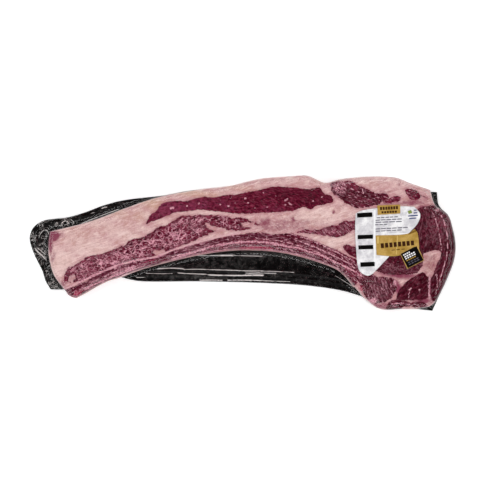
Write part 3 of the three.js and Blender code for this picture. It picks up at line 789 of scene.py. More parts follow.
def rim_side_step():
    """The way out of the steak at each rim point, in the surface's run and rise, eased
    round the corners."""
    step = np.zeros((len(steak_rim), 2))
    step[rim_rise == 0] = (0, -1)
    step[rim_run == 0] = (-1, 0)
    step[rim_run >= HOLLOW_LENGTH * 0.9999] = (1, 0)
    step[(step == 0).all(1)] = (0, 1)
    return round_smooth(step, 12)


def grain_of(here, run, rise, layer=0.0):
    """Coordinates along and across the muscle's fibres: the unfolded surface's run and
    rise, turned by the muscle's angle, with the muscle's number as a third."""
    cos, sin = np.cos(here["turn"]), np.sin(here["turn"])
    return np.stack([run * cos + rise * sin, rise * cos - run * sin,
                     here["owner"] * 0.05 + layer], -1)


# The share of each mark that is lost down the steak's side, and the least it grows to.
LOST_DOWN_SIDE = {"dark": 0, "pale_seam": 0.6, "dark_seam": 0.6, "fleck": 1, "stain": 0.5,
                  "bloom": 0.5, "traits": 0}
GROWN_DOWN_SIDE = {"cream": 0.3, "tan": 0.3}


def dress_meat(piece, downs, under):
    """Paints the map on the steak. Down the side the surface's run and rise go on, and the
    layers wander, as a cut through soft tissue does."""
    side_step = rim_side_step()
    rim_here = {name: values[steak_rim] for name, values in steak_here.items()}
    below = meat_map(*under.T)
    run, rise = steak_run.ravel(), steak_rise.ravel()
    painted = {name: [values] for name, values in steak_here.items()}
    painted["grain"] = [grain_of(steak_here, run, rise)]
    for down in downs:
        drift = 5 * MM * wobble(rim_run, rim_rise + 2.2 * down, 26 * MM, 31)
        drift += 2.5 * MM * wobble(rim_run, rim_rise + 2.2 * down, 9 * MM, 32)
        fade = smoothstep(down, 0, 8 * MM)
        painted["lean"].append(rim_here["lean"] + fade * drift)
        for name, lost in LOST_DOWN_SIDE.items():
            painted[name].append(rim_here[name] * (1 - lost * fade))
        for name, grown in GROWN_DOWN_SIDE.items():
            painted[name].append(np.maximum(rim_here[name], grown * fade))
        painted["grain"].append(grain_of(rim_here, rim_run + side_step[:, 0] * down,
                                         rim_rise + side_step[:, 1] * down))
    below["grain"] = grain_of(below, run, rise, 0.3)
    for name in ("lean", *LOST_DOWN_SIDE, *GROWN_DOWN_SIDE, "grain"):
        values = np.concatenate(painted[name] + [below[name]])
        paint(piece, name, values / MM if name == "lean" else values)


# ------------------------------------------------------------------------------- the tray
def off_steak(x, y):
    """1 from 6 mm outside the steak's outline, falling to 0 at 1 mm outside it."""
    return 1 - smoothstep(signed_distance(steak_loop, x, y), -6 * MM, -1 * MM)


def tray_top(x, y):
    """Floor height plus the rim's crests, each a bell over its distance from the edge.
    They turn flat where the steak lies over them."""
    inset = signed_distance(tray_loop, x, y)
    crest = np.max([height * MM * np.exp(-((inset / MM - at) / width) ** 2)
                    for at, height, width in RIM_CRESTS], 0)
    return TRAY_FLOOR + off_steak(x, y) * crest


def tray_surface():
    """The closed tray: the ribbed sheet above, a flat face below, and its cut edge."""
    grid, _, _ = patch(tray_sides, np.arange(0.7, 18, 0.85) * MM, *TRAY_CELLS)
    flat = grid.reshape(-1, 2)
    return two_faced(grid.shape[:2], np.column_stack([flat, tray_top(*flat.T)]),
                     np.column_stack([flat, np.zeros(len(flat))]))


# ------------------------------------------------------------------------------- the film
def tray_reach():
    """How far the tray goes on past each rim point, or a tuck-in where it doesn't."""
    steps = np.arange(0, 46, 0.5) * MM
    x = rim_place[:, :1] + rim_out[:, :1] * steps
    y = rim_place[:, 1:] + rim_out[:, 1:] * steps
    on_tray = signed_distance(tray_loop, x, y) > 0
    reach = np.where(on_tray, steps, -FILM_TUCK).max(1)
    return np.maximum(round_smooth(reach[:, None], 6)[:, 0], -FILM_TUCK)


def crumple(x, y, size, seed):
    """Sharp creases: one minus the size of smooth noise, so its zero lines stand up."""
    bent_x = x + size * 0.7 * wobble(x, y, size * 1.7, seed + 1)
    bent_y = y + size * 0.7 * wobble(x, y, size * 1.7, seed + 2)
    return (1 - np.abs(wobble(bent_x, bent_y, size, seed))) ** 6


def film_wrinkles(x, y):
    """Creases of the film over the meat, strongest in its tight zones."""
    amount = 0.10 + 0.5 * spots(TIGHT_ZONES, x, y)
    return 0.35 * MM * label_clear(x, y) * amount * crumple(x, y, 8 * MM, 41)


def film_over(x, y):
    """The film's height over the tray: drawn from crest to crest of its rim."""
    span = np.interp(signed_distance(tray_loop, x, y) / MM, *FILM_SPAN)
    drawn = TRAY_FLOOR + off_steak(x, y) * span * MM
    return np.maximum(tray_top(x, y), drawn) + FILM_LIFT


def softened(heights):
    """Each height of a grid averaged three times with its four neighbours, itself twice."""
    for _ in range(3):
        padded = np.pad(heights, 1, mode="edge")
        heights = (padded[:-2, 1:-1] + padded[2:, 1:-1] + padded[1:-1, :-2]
                   + padded[1:-1, 2:] + 2 * heights) / 6
    return heights


def film_surface():
    """The film: over the cut face it follows the meat, smoothed, with creases. From the rim
    it drops down the side, turns out over the tray in a hollow fillet and runs to the
    tray's edge, or turns in under the meat where no tray shows."""
    x, y = steak_flat.T
    soft = softened(steak_high.reshape(STEAK_SHAPE)).ravel()
    high = np.maximum(soft + 0.1 * MM, steak_high) + FILM_LIFT + film_wrinkles(x, y)
    spread = np.zeros_like(steak_flat)
    spread[steak_rim] = rim_out * FILM_SLACK
    points = [np.column_stack([steak_flat + spread, high])]
    reach = tray_reach()
    foot = FILM_SLACK + np.clip(reach, 0, FILM_FILLET)
    down, round_foot, over_tray = [np.linspace(0, 1, count)[1:] for count in FILM_RINGS]
    for share in down:
        z = WALL_TOP + (FILM_FOOT - WALL_TOP) * share
        swell = 0.3 * MM * (1 + wobble(rim_run, rim_rise + 2 * z, 8 * MM, 51)) * share
        points.append(past_rim(FILM_SLACK + swell, z))
    edge = past_rim(foot, 0)
    ground = film_over(edge[:, 0], edge[:, 1])
    for share in round_foot:
        outward = 0.7 * MM + (foot - 0.7 * MM) * share ** 2
        points.append(past_rim(outward, ground + (FILM_FOOT - ground) * (1 - share) ** 2))
    for share in over_tray:
        ring = past_rim(foot + (reach - foot) * share, 0)
        slack = 1.12 - smoothstep(ring[:, 0], -225 * MM, -205 * MM)
        lift = 0.3 * MM * slack * (1 + wobble(ring[:, 0], ring[:, 1], 8 * MM, 61))
        ring[:, 2] = film_over(ring[:, 0], ring[:, 1]) + lift * math.sin(math.pi * share)
        points.append(ring)
    rings = rings_from(steak_rim, len(steak_flat), len(points) - 1)
    faces = [quads(*STEAK_SHAPE), bands(rings[::-1])]
    return np.vstack(points), faces


def dress_film(piece, points):
    """Paints on the film where it is loose, where its folds run, and where its painted highlights and
    painted grey sheen go: all painted glint squiggles and sheen patches lie on the tray, most
    squiggles on its left end."""
    x, y, z = points.T
    beyond = np.arange(len(points)) >= len(steak_flat)
    low = beyond * (1 - smoothstep(z, 6 * MM, 12 * MM))
    outer = low * (1 - smoothstep(x, -215 * MM, -200 * MM))
    creased = label_clear(x, y) * (0.05 + 0.22 * spots(TIGHT_ZONES, x, y))
    fold_side, fold_near = fold_fields(FILM_CREASES, x, y)
    off_walls = 1 - smoothstep(z, 9 * MM, 12 * MM) + smoothstep(z, 38 * MM, 41 * MM)
    paint(piece, "loose", np.where(beyond, np.maximum(0.1 * outer, 0.04), creased))
    paint(piece, "fold_side", fold_side)
    paint(piece, "fold_near", fold_near * off_walls)
    paint(piece, "painted_glints", np.maximum(outer, 0.12 * low))
    paint(piece, "painted_sheen", low * spots(PAINTED_SHEEN_PATCHES, x, y))


# ------------------------------------------------------------------------------- the bone
def rib_path():
    """Along the hollow edge, straight on before its start: each station's place on the
    edge, the way along it and the way into the steak, and its share of the rib's length."""
    along = np.linspace(-RIB_OVERRUN, HOLLOW_LENGTH * RIB_SHARE, RIB_CELLS[0])
    share = np.clip(along / HOLLOW_LENGTH, 0, 1)
    lower, step = steak_sides["lower"], 0.002
    tangent = at_shares(lower, share + step) - at_shares(lower, share - step)
    tangent /= np.linalg.norm(tangent, axis=1)[:, None]
    inward = np.stack([-tangent[:, 1], tangent[:, 0]], -1)
    place = at_shares(lower, share) + tangent * np.minimum(along, 0)[:, None]
    return along, place, tangent, inward, (along - along[0]) / (along[-1] - along[0])


def rib_surface():
    """The rib: flat-sided oval rings carried along the hollow edge, the sine and cosine
    taken to a power under 1, with each end closed by rings that shrink to a domed middle.
    The tip is cut to the steak's outline."""
    count, sides = RIB_CELLS
    along, place, tangent, inward, part = rib_path()
    depth = RIB_DEPTH[0] + (RIB_DEPTH[1] - RIB_DEPTH[0]) * part
    tall = RIB_HEIGHT[0] + (RIB_HEIGHT[1] - RIB_HEIGHT[0]) * part
    centre = place + inward * (depth / 2 - RIB_PROUD)[:, None]
    angle = 2 * np.pi * np.arange(sides) / sides
    wave = np.stack([np.cos(angle), np.sin(angle)])
    flat_sided = np.sign(wave) * np.abs(wave) ** RIB_SQUARENESS
    rough = 0.25 * MM * wobble(along[:, None] + 0 * angle, 30 * MM * angle, 8 * MM, 71)
    out = -flat_sided[0] * (depth[:, None] / 2 + np.minimum(rough, 0))
    x = centre[:, :1] + inward[:, :1] * out
    y = centre[:, 1:] + inward[:, 1:] * out
    z = RIB_MIDDLE + flat_sided[1] * (tall[:, None] / 2 + rough)
    first = np.argmax(-signed_distance(steak_loop, x, y) < RIB_PROUD, axis=0)
    cut = np.maximum(np.arange(count)[:, None], first[None, :])
    columns = np.broadcast_to(np.arange(sides), cut.shape)
    points = np.stack([x[cut, columns], y[cut, columns], z[cut, columns]], -1)
    start = int(first.max())
    ease = np.linspace(0, 1, start + 1)[:, None, None]
    points[:start + 1] = points[0] * (1 - ease) + points[start] * ease
    flat = points.reshape(-1, 3)
    rings = [r * sides + np.arange(sides) for r in range(count)]
    parts, faces, total = [flat], [bands(rings[::-1])], len(flat)
    for ring, normal, turn in ((rings[0], -tangent[0], 1), (rings[-1], tangent[-1], -1)):
        middle, cap = flat[ring].mean(0), [ring]
        for size in RIB_CAP_RINGS:
            bulge = np.r_[normal, 0] * 0.5 * MM * (1 - size)
            parts.append(middle + (flat[ring] - middle) * size + bulge)
            cap.append(total + np.arange(sides))
            total += sides
        faces += [bands(cap[::turn]), cap[-1][::turn][None]]
    return np.vstack(parts), faces


# ----------------------------------------------------------------------------- the labels
def label_surface(name, cells):
    """A sticker: two copies of its patch, one label thickness apart, over the film, with a
    soft step over each sticker beneath it, joined round the edge."""
    grid, _, _ = patch(label_sides[name], [], *cells)
    flat = grid.reshape(-1, 2)
    x, y = flat.T
    raised = sum(LABEL_STEP * smoothstep(signed_distance(label_loops[other], x, y),
                                         -LABEL_STEP_WIDTH, -1 * MM)
                 for other in LABELS_BENEATH[name])
    ripple = 0.14 * MM * wobble(x, y, 13 * MM, 81) + 0.05 * MM * wobble(x, y, 4 * MM, 82)
    low = steak_top(x, y, meat_map(x, y)) + FILM_LIFT + LABEL_LIFT + raised + ripple
    return two_faced(grid.shape[:2], np.column_stack([flat, low + LABEL_THICKNESS]),
                     np.column_stack([flat, low]))


def bars(*rows):
    """Printed blocks in rows of equal bars. A row is its middle's x and y, its width and
    height, its count of bars, its turn in degrees and the gap's share of each bar's place.
    A block is x, y, half width, half height and turn. All lengths are in pixels."""
    blocks = []
    for px, py, width, height, count, turn, gap in rows:
        angle, pitch = math.radians(turn), width / count
        for k in range(count):
            along = (k - (count - 1) / 2) * pitch
            blocks.append((px + along * math.cos(angle), py - along * math.sin(angle),
                           pitch * (1 - gap) / 2, height / 2, turn))
    return blocks


def on_badge(right, down, width, height, count):
    """A row of bars on the black sticker, placed from its middle along its own sides."""
    angle = math.radians(BADGE_TURN)
    px = BADGE_MIDDLE[0] + right * math.cos(angle) + down * math.sin(angle)
    py = BADGE_MIDDLE[1] - right * math.sin(angle) + down * math.cos(angle)
    return px, py, width, height, count, BADGE_TURN, 0.28


PRINTS = {
    "label_silver": {
        "black": [(364.6, 215, 7.7, 2.3, 3), (365.2, 236.9, 7.7, 2.1, 2),
                  (365.6, 247.2, 7.4, 2.1, 2), (367.4, 264.3, 7.2, 2.3, 3)],
        "white": [(374.5, 236, 0.9, 26, 0), (403.5, 233.6, 16, 0.6, 2)],
        "grey": bars((387, 217.3, 22, 1.0, 5, 3, 0.16), (388.5, 219.6, 27, 1.0, 5, 3, 0.12),
                     (388.5, 221.9, 27, 1.0, 4, 2, 0.12), (381, 224.6, 13, 0.9, 3, 2, 0.16),
                     (391.5, 228.2, 33, 1.0, 6, 3, 0.12), (388.5, 230.6, 27, 0.9, 5, 3, 0.14)),
        "blue": [(415, 210.2, 1.4, 0.5, 4), (415.2, 212.9, 1.9, 0.55, 4),
                 (412.8, 215.7, 4.9, 0.6, 4), (412.5, 218.3, 3.6, 0.55, 4)],
        "green": [(409.7, 212, 1.9, 1.6, 20)],
    },
    "label_gold": {
        # The pale blocks are a painted highlight: lighter streaks where the gold foil is creased.
        "pale": [(396.8, 245, 0.35, 9.5, -3), (377.8, 240, 0.8, 3.6, 0)],
        "brown": bars((397.2, 244.3, 34.5, 4.8, 8, 5, 0.26), (398, 249.6, 15, 0.7, 3, 5, 0.28)),
        # The darker gold blocks at the sticker's top corner are painted shade where it runs under the
        # silver sticker's edge.
        "painted_shade": [(411.8, 232.4, 4.0, 0.9, 22), (414.2, 231.2, 2.4, 0.9, 22)],
    },
    "label_crest": {
        "brown": bars((388.8, 208.1, 18.5, 3.1, 7, 3, 0.22), (389, 212, 16, 2.1, 6, 3, 0.22)),
    },
    "label_badge": {
        "black": [(*BADGE_MIDDLE, 8.8, 8.0, BADGE_TURN)],
        "white": bars(on_badge(-3.4, -5.6, 8, 1.3, 4), on_badge(-1.2, -3.3, 12, 1.4, 5),
                      on_badge(-1.2, -1.2, 12, 1.2, 5)),
        "gold": bars(on_badge(-1.6, 0.9, 11, 1.0, 5)),
        "grey": bars(on_badge(-0.5, 3.4, 12.5, 0.8, 4), on_badge(-0.5, 5.4, 12.5, 0.8, 4)),
    },
}
NO_INK = -9.0


def block_depth(blocks, x, y):
    """Depth inside the nearest printed block, in millimetres: negative outside it."""
    best = np.full(len(x), NO_INK)
    for px, py, half_w, half_h, turn in blocks:
        along, across = turned_about(px, py, turn, x, y)
        inside = np.minimum(half_w * PIXEL - np.abs(along), half_h * PIXEL - np.abs(across))
        best = np.maximum(best, inside / MM)
    return best


def dress_label(piece, name, points):
    """Paints each ink's depth, and that of the painted highlight and painted shade blocks, on the
    sticker's upper face, and no ink below.
    """
    top = points[:len(points) // 2]
    for ink, blocks in PRINTS[name].items():
        depth = block_depth(blocks, top[:, 0], top[:, 1])
        paint(piece, "ink_" + ink, np.r_[depth, np.full(len(top), NO_INK)])


# ------------------------------------------------------------------------------ materials
# Settings that many nodes share: an S-shaped step of a value, and a mix of two colours.
EASED = dict(interpolation_type="SMOOTHSTEP")
COLOURS = dict(data_type="RGBA", out=2)


def linear(code):
    """An sRGB hex colour as linear light, with full alpha."""
    channels = [int(code[k:k + 2], 16) / 255 for k in (1, 3, 5)]
    return tuple(c / 12.92 if c <= 0.04045 else ((c + 0.055) / 1.055) ** 2.4
                 for c in channels) + (1.0,)


def add_node(tree, kind, *values, out=0, **settings):
    """Adds one node and gives one of its outputs, or several for a slice. Values fill its
    inputs in order. A setting with a capital fills the input of that name, with _ for a
    space, and any other sets a property. A value is a number, a vector, a link or a hex
    colour."""
    node = tree.nodes.new("ShaderNode" + kind)
    named = {socket.identifier.replace(" ", "_"): socket for socket in node.inputs}
    filled = list(zip(node.inputs, values))
    for name, value in settings.items():
        if name[0].isupper():
            filled.append((named[name], value))
        else:
            setattr(node, name, value)
    for socket, value in filled:
        if isinstance(value, bpy.types.NodeSocket):
            tree.links.new(value, socket)
        else:
            socket.default_value = linear(value) if isinstance(value, str) else value
    return node.outputs[out] if node.outputs else None


def new_material(name):
    """An empty material, and the function that adds a node to it."""
    material = bpy.data.materials.new(name)
    material.use_nodes = True
    material.node_tree.nodes.clear()
    return material, functools.partial(add_node, material.node_tree)


def tinted(add, colour, tint, value, low, high, most=1.0):
    """A colour with a tint over it, the more the farther a value has gone from low to
    high."""
    share = add("MapRange", value, low, high, 0.0, most, **EASED)
    return add("Mix", share, A_Color=colour, B_Color=tint, **COLOURS)


def stretched_noise(add, vector, along, across, layer, **settings):
    """Noise whose features are this long and this wide on the vector's first two axes."""
    cells = add("VectorMath", vector, (1 / along, 1 / across, layer), operation="MULTIPLY")
    return add("TexNoise", cells, Scale=1.0, **settings)


def cell_web(add, vector, along, across, layer, width):
    """Lines along the borders of random cells, this long and wide: 1 on a line, 0 inside."""
    cells = add("VectorMath", vector, (1 / along, 1 / across, layer), operation="MULTIPLY")
    edge = add("TexVoronoi", cells, Scale=1.0, feature="DISTANCE_TO_EDGE")
    beyond = add("Math", edge, width, operation="SUBTRACT")
    return add("MapRange", beyond, -0.035, 0.04, 1.0, 0.0, **EASED)


def marbling(add, bent, marble, lean_depth, mince):
    """The fat inside the lean: a web round bundles of about 10 by 8 mm, thinner and broken
    where noise says, a finer, fainter web of 3 mm inside each bundle, and crumbs."""
    gate = add("TexNoise", bent, Scale=1 / (9 * MM))
    width = add("MapRange", gate, 0.35, 0.65, -0.02, 0.07, **EASED)
    web = cell_web(add, bent, 9.5 * MM, 7.5 * MM, 7.0, width)
    amount = add("MapRange", marble, 0.4, 0.85, **EASED)
    web = add("Math", web, amount, operation="MULTIPLY")
    gate = add("TexNoise", bent, Scale=1 / (4 * MM), Detail=3, Roughness=0.6)
    width = add("MapRange", gate, 0.36, 0.66, -0.05, 0.15, **EASED)
    small_web = cell_web(add, bent, 4 * MM, 3 * MM, 11.0, width)
    amount = add("MapRange", marble, 0.12, 0.9, 0.0, 0.84, **EASED)
    small_web = add("Math", small_web, amount, operation="MULTIPLY")
    network = add("Math", web, small_web, operation="MAXIMUM")
    inland = add("MapRange", lean_depth, 1.2, 5.0, 0.12, 1.0, **EASED)
    network = add("Math", network, inland, operation="MULTIPLY")
    crumbs = add("TexNoise", bent, Scale=1 / (2.1 * MM), Detail=3, Roughness=0.65)
    crumbs = add("MapRange", crumbs, 0.42, 0.62, **EASED)
    crumbs = add("Math", crumbs, mince, operation="MULTIPLY")
    return add("Math", network, crumbs, operation="MAXIMUM")


def threads_and_flecks(add, grain, streak, marble):
    """Threads of fat along the grain, and stray flecks."""
    threads = stretched_noise(add, grain, 12 * MM, 1.8 * MM, 9.0, Detail=3, Roughness=0.55,
                              Distortion=0.35)
    threads = add("MapRange", threads, 0.55, 0.64, **EASED)
    amount = add("Math", streak, 1.25, operation="MULTIPLY")
    threads = add("Math", threads, amount, operation="MULTIPLY")
    flecks = stretched_noise(add, grain, 4.6 * MM, 2.1 * MM, 17.0, Roughness=0.6)
    flecks = add("MapRange", flecks, 0.56, 0.68, **EASED)
    amount = add("MapRange", marble, 0.04, 0.36, 0.1, 0.8, **EASED)
    flecks = add("Math", flecks, amount, operation="MULTIPLY")
    return add("Math", threads, flecks, operation="MAXIMUM")


def lean_colours(add, place, bent, dark, mottle):
    """Lean: from purple-pink to nearly black red, with fine fibres along the grain."""
    broad = add("TexNoise", place, Scale=1 / (24 * MM), Detail=3, Roughness=0.55)
    blotch = add("TexNoise", bent, Scale=1 / (7 * MM), Roughness=0.6)
    fibres = stretched_noise(add, bent, 6 * MM, 1.1 * MM, 13.0, Detail=3, Roughness=0.65)
    depth = add("Math", dark, 0.8, operation="SUBTRACT")
    depth = add("Math", broad, 0.7, depth, operation="MULTIPLY_ADD")
    depth = add("Math", blotch, 0.9, depth, operation="MULTIPLY_ADD", use_clamp=True)
    lean = tinted(add, "#782c47", "#5a0a24", depth, 0.0, 0.5)
    lean = tinted(add, lean, "#3a0010", depth, 0.5, 1.0)
    calm = add("MapRange", depth, 0.3, 1.1, 1.0, 0.45, **EASED)
    for pattern, light_at, light, dark_at, deep in (
            (mottle, (0.5, 0.66, 0.0, 0.6), "#94364f", (0.5, 0.34, 0.8), "#240008"),
            (fibres, (0.52, 0.7, 0.0, 0.4), "#a04a60", (0.48, 0.28, 0.3), "#28000a")):
        share = add("MapRange", pattern, *light_at, **EASED)
        share = add("Math", share, calm, operation="MULTIPLY")
        lean = add("Mix", share, A_Color=lean, B_Color=light, **COLOURS)
        lean = tinted(add, lean, deep, pattern, *dark_at)
    return lean


def fat_colours(add, place, grit, cream, lean_depth):
    """Fat: pink, yellow-cream in its zones, with soft streaks and lumps, and redder where
    lean lies beside it."""
    tan = add("Attribute", attribute_name="tan", out="Fac")
    fat = add("Mix", tan, A_Color="#c99a9d", B_Color="#c9a08f", **COLOURS)
    fat = add("Mix", cream, A_Color=fat, B_Color="#e4c4c0", **COLOURS)
    lumps = add("TexNoise", place, Scale=1 / (9 * MM), Detail=3, Roughness=0.6)
    tilted = add("Mapping", place, Rotation=(0, 0, math.radians(-19)))
    pulls = stretched_noise(add, tilted, 13 * MM, 2.4 * MM, 300.0, Detail=4, Roughness=0.6,
                            Distortion=0.6)
    for pattern, light_at, light, dark_at, deep in (
            (lumps, (0.45, 0.72, 0.6), "#e6c9c4", (0.5, 0.3, 0.5), "#bd8d84"),
            (pulls, (0.5, 0.68, 0.65), "#efd6d0", (0.5, 0.32, 0.4), "#b08079"),
            (grit, (0.5, 0.75, 0.35), "#efdbd5", (0.5, 0.25, 0.4), "#a97572")):
        fat = tinted(add, fat, light, pattern, *light_at)
        fat = tinted(add, fat, deep, pattern, *dark_at)
    pink = add("Math", cream, -0.7, 1.0, operation="MULTIPLY_ADD", use_clamp=True)
    beside = add("MapRange", lean_depth, -4.0, -0.3, 0.0, 0.34, **EASED)
    beside = add("Math", pink, beside, operation="MULTIPLY")
    return add("Mix", beside, A_Color=fat, B_Color="#a5596c", **COLOURS)


def raw_beef():
    """Raw beef, freshly sawn: deep purple-red lean with pink fat between. Wet and pressed to
    the film, it has next to no gloss of its own."""
    material, add = new_material("raw_beef")
    place = add("TexCoord", out="Object")
    lean_depth, dark, pale_seam, dark_seam, fleck, stain, bloom, cream = [
        add("Attribute", attribute_name=name, out="Fac") for name in
        ("lean", "dark", "pale_seam", "dark_seam", "fleck", "stain", "bloom", "cream")]
    traits = add("Attribute", attribute_name="traits", out="Vector")
    marble, streak, mince = add("SeparateXYZ", traits, out=slice(3))
    grain = add("Attribute", attribute_name="grain", out="Vector")
    coarse = add("TexNoise", place, Scale=1 / (7 * MM), Detail=3, Roughness=0.6)
    fine = add("TexNoise", place, Scale=1 / (1.8 * MM), Roughness=0.6)
    grit = add("TexNoise", place, Scale=1 / (1.5 * MM), Detail=3, Roughness=0.6)

    # Ragged border between lean and fat, most ragged where the lean is marbled.
    wander = add("Math", coarse, 4.4, -2.2, operation="MULTIPLY_ADD")
    wander = add("Math", wander, 1.2, operation="SUBTRACT")
    wander = add("Math", fine, 2.4, wander, operation="MULTIPLY_ADD")
    ragged = add("Math", marble, 0.6, 0.85, operation="MULTIPLY_ADD")
    border = add("Math", wander, ragged, lean_depth, operation="MULTIPLY_ADD")
    is_lean = add("MapRange", border, -0.35, 0.45, **EASED)

    # The grain, bent so that neither fibres nor marbling run straight.
    bend = add("TexNoise", grain, Scale=1 / (5 * MM), out=1)
    bend = add("VectorMath", bend, (0.5, 0.5, 0.5), operation="SUBTRACT")
    bent = add("VectorMath", bend, (7 * MM, 5 * MM, 0), grain, operation="MULTIPLY_ADD")
    mottle = add("TexNoise", bent, Scale=1 / (3.2 * MM), Detail=3, Roughness=0.65)

    # Fat in the lean: the marbling, threads and flecks, and ragged pale seams and marks.
    network = marbling(add, bent, marble, lean_depth, mince)
    fat_in = add("Math", network, threads_and_flecks(add, grain, streak, marble),
                 operation="MAXIMUM")
    pale_seam = add("Math", fine, 1.7, pale_seam, operation="MULTIPLY_ADD")
    pale_seam = add("Math", coarse, 0.9, pale_seam, operation="MULTIPLY_ADD")
    pale_seam = add("MapRange", pale_seam, 1.74, 2.1, 0.0, 0.95, **EASED)
    marks = add("Math", fine, 0.8, fleck, operation="MULTIPLY_ADD")
    marks = add("MapRange", marks, 0.6, 1.1, **EASED)
    marks = add("Math", pale_seam, marks, operation="MAXIMUM")
    fat_in = add("Math", fat_in, marks, operation="MAXIMUM", use_clamp=True)

    lean = lean_colours(add, place, bent, dark, mottle)
    dark_seam = add("Math", dark_seam, 0.92, operation="MULTIPLY")
    lean = add("Mix", dark_seam, A_Color=lean, B_Color="#470a1f", **COLOURS)
    lean_fat = tinted(add, "#b0697e", "#e2abb6", fine, 0.35, 0.65)
    lean = add("Mix", fat_in, A_Color=lean, B_Color=lean_fat, **COLOURS)

    # Stains in the fat, with mottled edges, and seams that run on through it, paler.
    fat = fat_colours(add, place, grit, cream, lean_depth)
    for pattern, strength in ((coarse, 0.6), (mottle, 1.1)):
        uneven = add("Math", pattern, 0.5, operation="SUBTRACT")
        stain = add("Math", uneven, strength, stain, operation="MULTIPLY_ADD")
    fat = tinted(add, fat, "#7e2c49", stain, 0.08, 0.95, 0.9)
    seam_share = add("Math", pale_seam, 0.5, operation="MULTIPLY")
    fat = add("Mix", seam_share, A_Color=fat, B_Color="#e3bcc2", **COLOURS)
    colour = add("Mix", is_lean, A_Color=fat, B_Color=lean, **COLOURS)

    # Where it has stayed bright red.
    for pattern, strength in ((fine, 0.8), (mottle, 1.2)):
        bloom = add("Math", pattern, strength, bloom, operation="MULTIPLY_ADD")
    red = tinted(add, "#8c1d38", "#c8607a", fine, 0.4, 0.66)
    colour = tinted(add, colour, red, bloom, 1.4, 1.9, 0.85)

    bumps = add("Math", grit, 0.5, operation="MULTIPLY")
    for pattern, strength in ((mottle, 0.7), (is_lean, 0.5)):
        bumps = add("Math", pattern, strength, bumps, operation="MULTIPLY_ADD")
    shader = add("BsdfPrincipled", Base_Color=colour, IOR=1.38, Specular_IOR_Level=0.03,
                 Roughness=add("MapRange", grit, 0.2, 0.8, 0.34, 0.52, **EASED),
                 Normal=add("Bump", Strength=0.35, Distance=0.5 * MM, Height=bumps),
                 Subsurface_Weight=0.04, Subsurface_Radius=(1.0, 0.35, 0.25),
                 Subsurface_Scale=1 * MM)
    add("OutputMaterial", shader)
    return material


def fresh_rib_bone():
    """Fresh rib bone under its membrane: pale pink, streaked along its length, satin, with
    red marrow at its sawn tip."""
    material, add = new_material("fresh_rib_bone")
    place = add("TexCoord", out="Object")
    streaks = stretched_noise(add, place, 22 * MM, 9 * MM, 1 / (2.5 * MM), Detail=4,
                              Roughness=0.6)
    pits = add("TexNoise", place, Scale=1 / (1.6 * MM), Detail=3, Roughness=0.6)
    colour = tinted(add, "#dcb4ae", "#b87f86", streaks, 0.35, 0.7)
    colour = tinted(add, colour, "#7e3244", pits, 0.5, 0.66, 0.7)
    to_tip = add("SeparateXYZ", place, out="X")
    colour = tinted(add, colour, "#a23a50", to_tip, -196 * MM, -206 * MM, 0.7)
    bumps = add("Math", streaks, pits, operation="ADD")
    shader = add("BsdfPrincipled", Base_Color=colour, Roughness=0.42, IOR=1.5,
                 Normal=add("Bump", Strength=0.3, Distance=0.4 * MM, Height=bumps))
    add("OutputMaterial", shader)
    return material


def black_tray_pet():
    """Thermoformed black PET, faintly uneven, with dust-fine scuffs. The film sealed down on
    it takes nearly all of its own gloss."""
    material, add = new_material("black_tray_pet")
    place = add("TexCoord", out="Object")
    cloud = add("TexNoise", place, Scale=1 / (26 * MM), Detail=3, Roughness=0.6)
    scuff = add("TexNoise", place, Scale=1 / (1.4 * MM), Detail=3, Roughness=0.7)
    shader = add("BsdfPrincipled", IOR=1.5, Specular_IOR_Level=0.1,
                 Base_Color=tinted(add, "#040303", "#100c0d", cloud, 0.35, 0.75),
                 Roughness=add("MapRange", scuff, 0.25, 0.75, 0.2, 0.32, **EASED),
                 Normal=add("Bump", Strength=0.2, Distance=0.3 * MM, Height=cloud))
    add("OutputMaterial", shader)
    return material


def clear_sheet(add, bump):
    """See-through plastic with gloss on its ripples, shared out by Fresnel. It is clear
    both ways, so light leaves the meat through it as it came in."""
    inner = add("NewGeometry", out="Backfacing")
    index = add("Math", inner, 1 / FILM_INDEX - FILM_INDEX, FILM_INDEX,
                operation="MULTIPLY_ADD")
    share = add("Fresnel", index, Normal=bump)
    clear = add("BsdfTransparent", "#ffffff")
    gloss = add("BsdfGlossy", "#cccccc", Roughness=0.08, Normal=bump)
    return add("MixShader", share, clear, gloss)


def squiggles(add, place):
    """A net of thin wandering lines, where two noises pass their middle value."""
    levels = add("TexNoise", place, Scale=1 / (7 * MM), Detail=1, Distortion=0.8, out=1)
    net = 0.0
    for level in add("SeparateXYZ", levels, out=slice(2)):
        away = add("Math", level, 0.5, operation="SUBTRACT")
        away = add("Math", away, operation="ABSOLUTE")
        line = add("MapRange", away, 0.008, 0.034, 1.0, 0.0, **EASED)
        net = add("Math", line, net, operation="MAXIMUM")
    return net


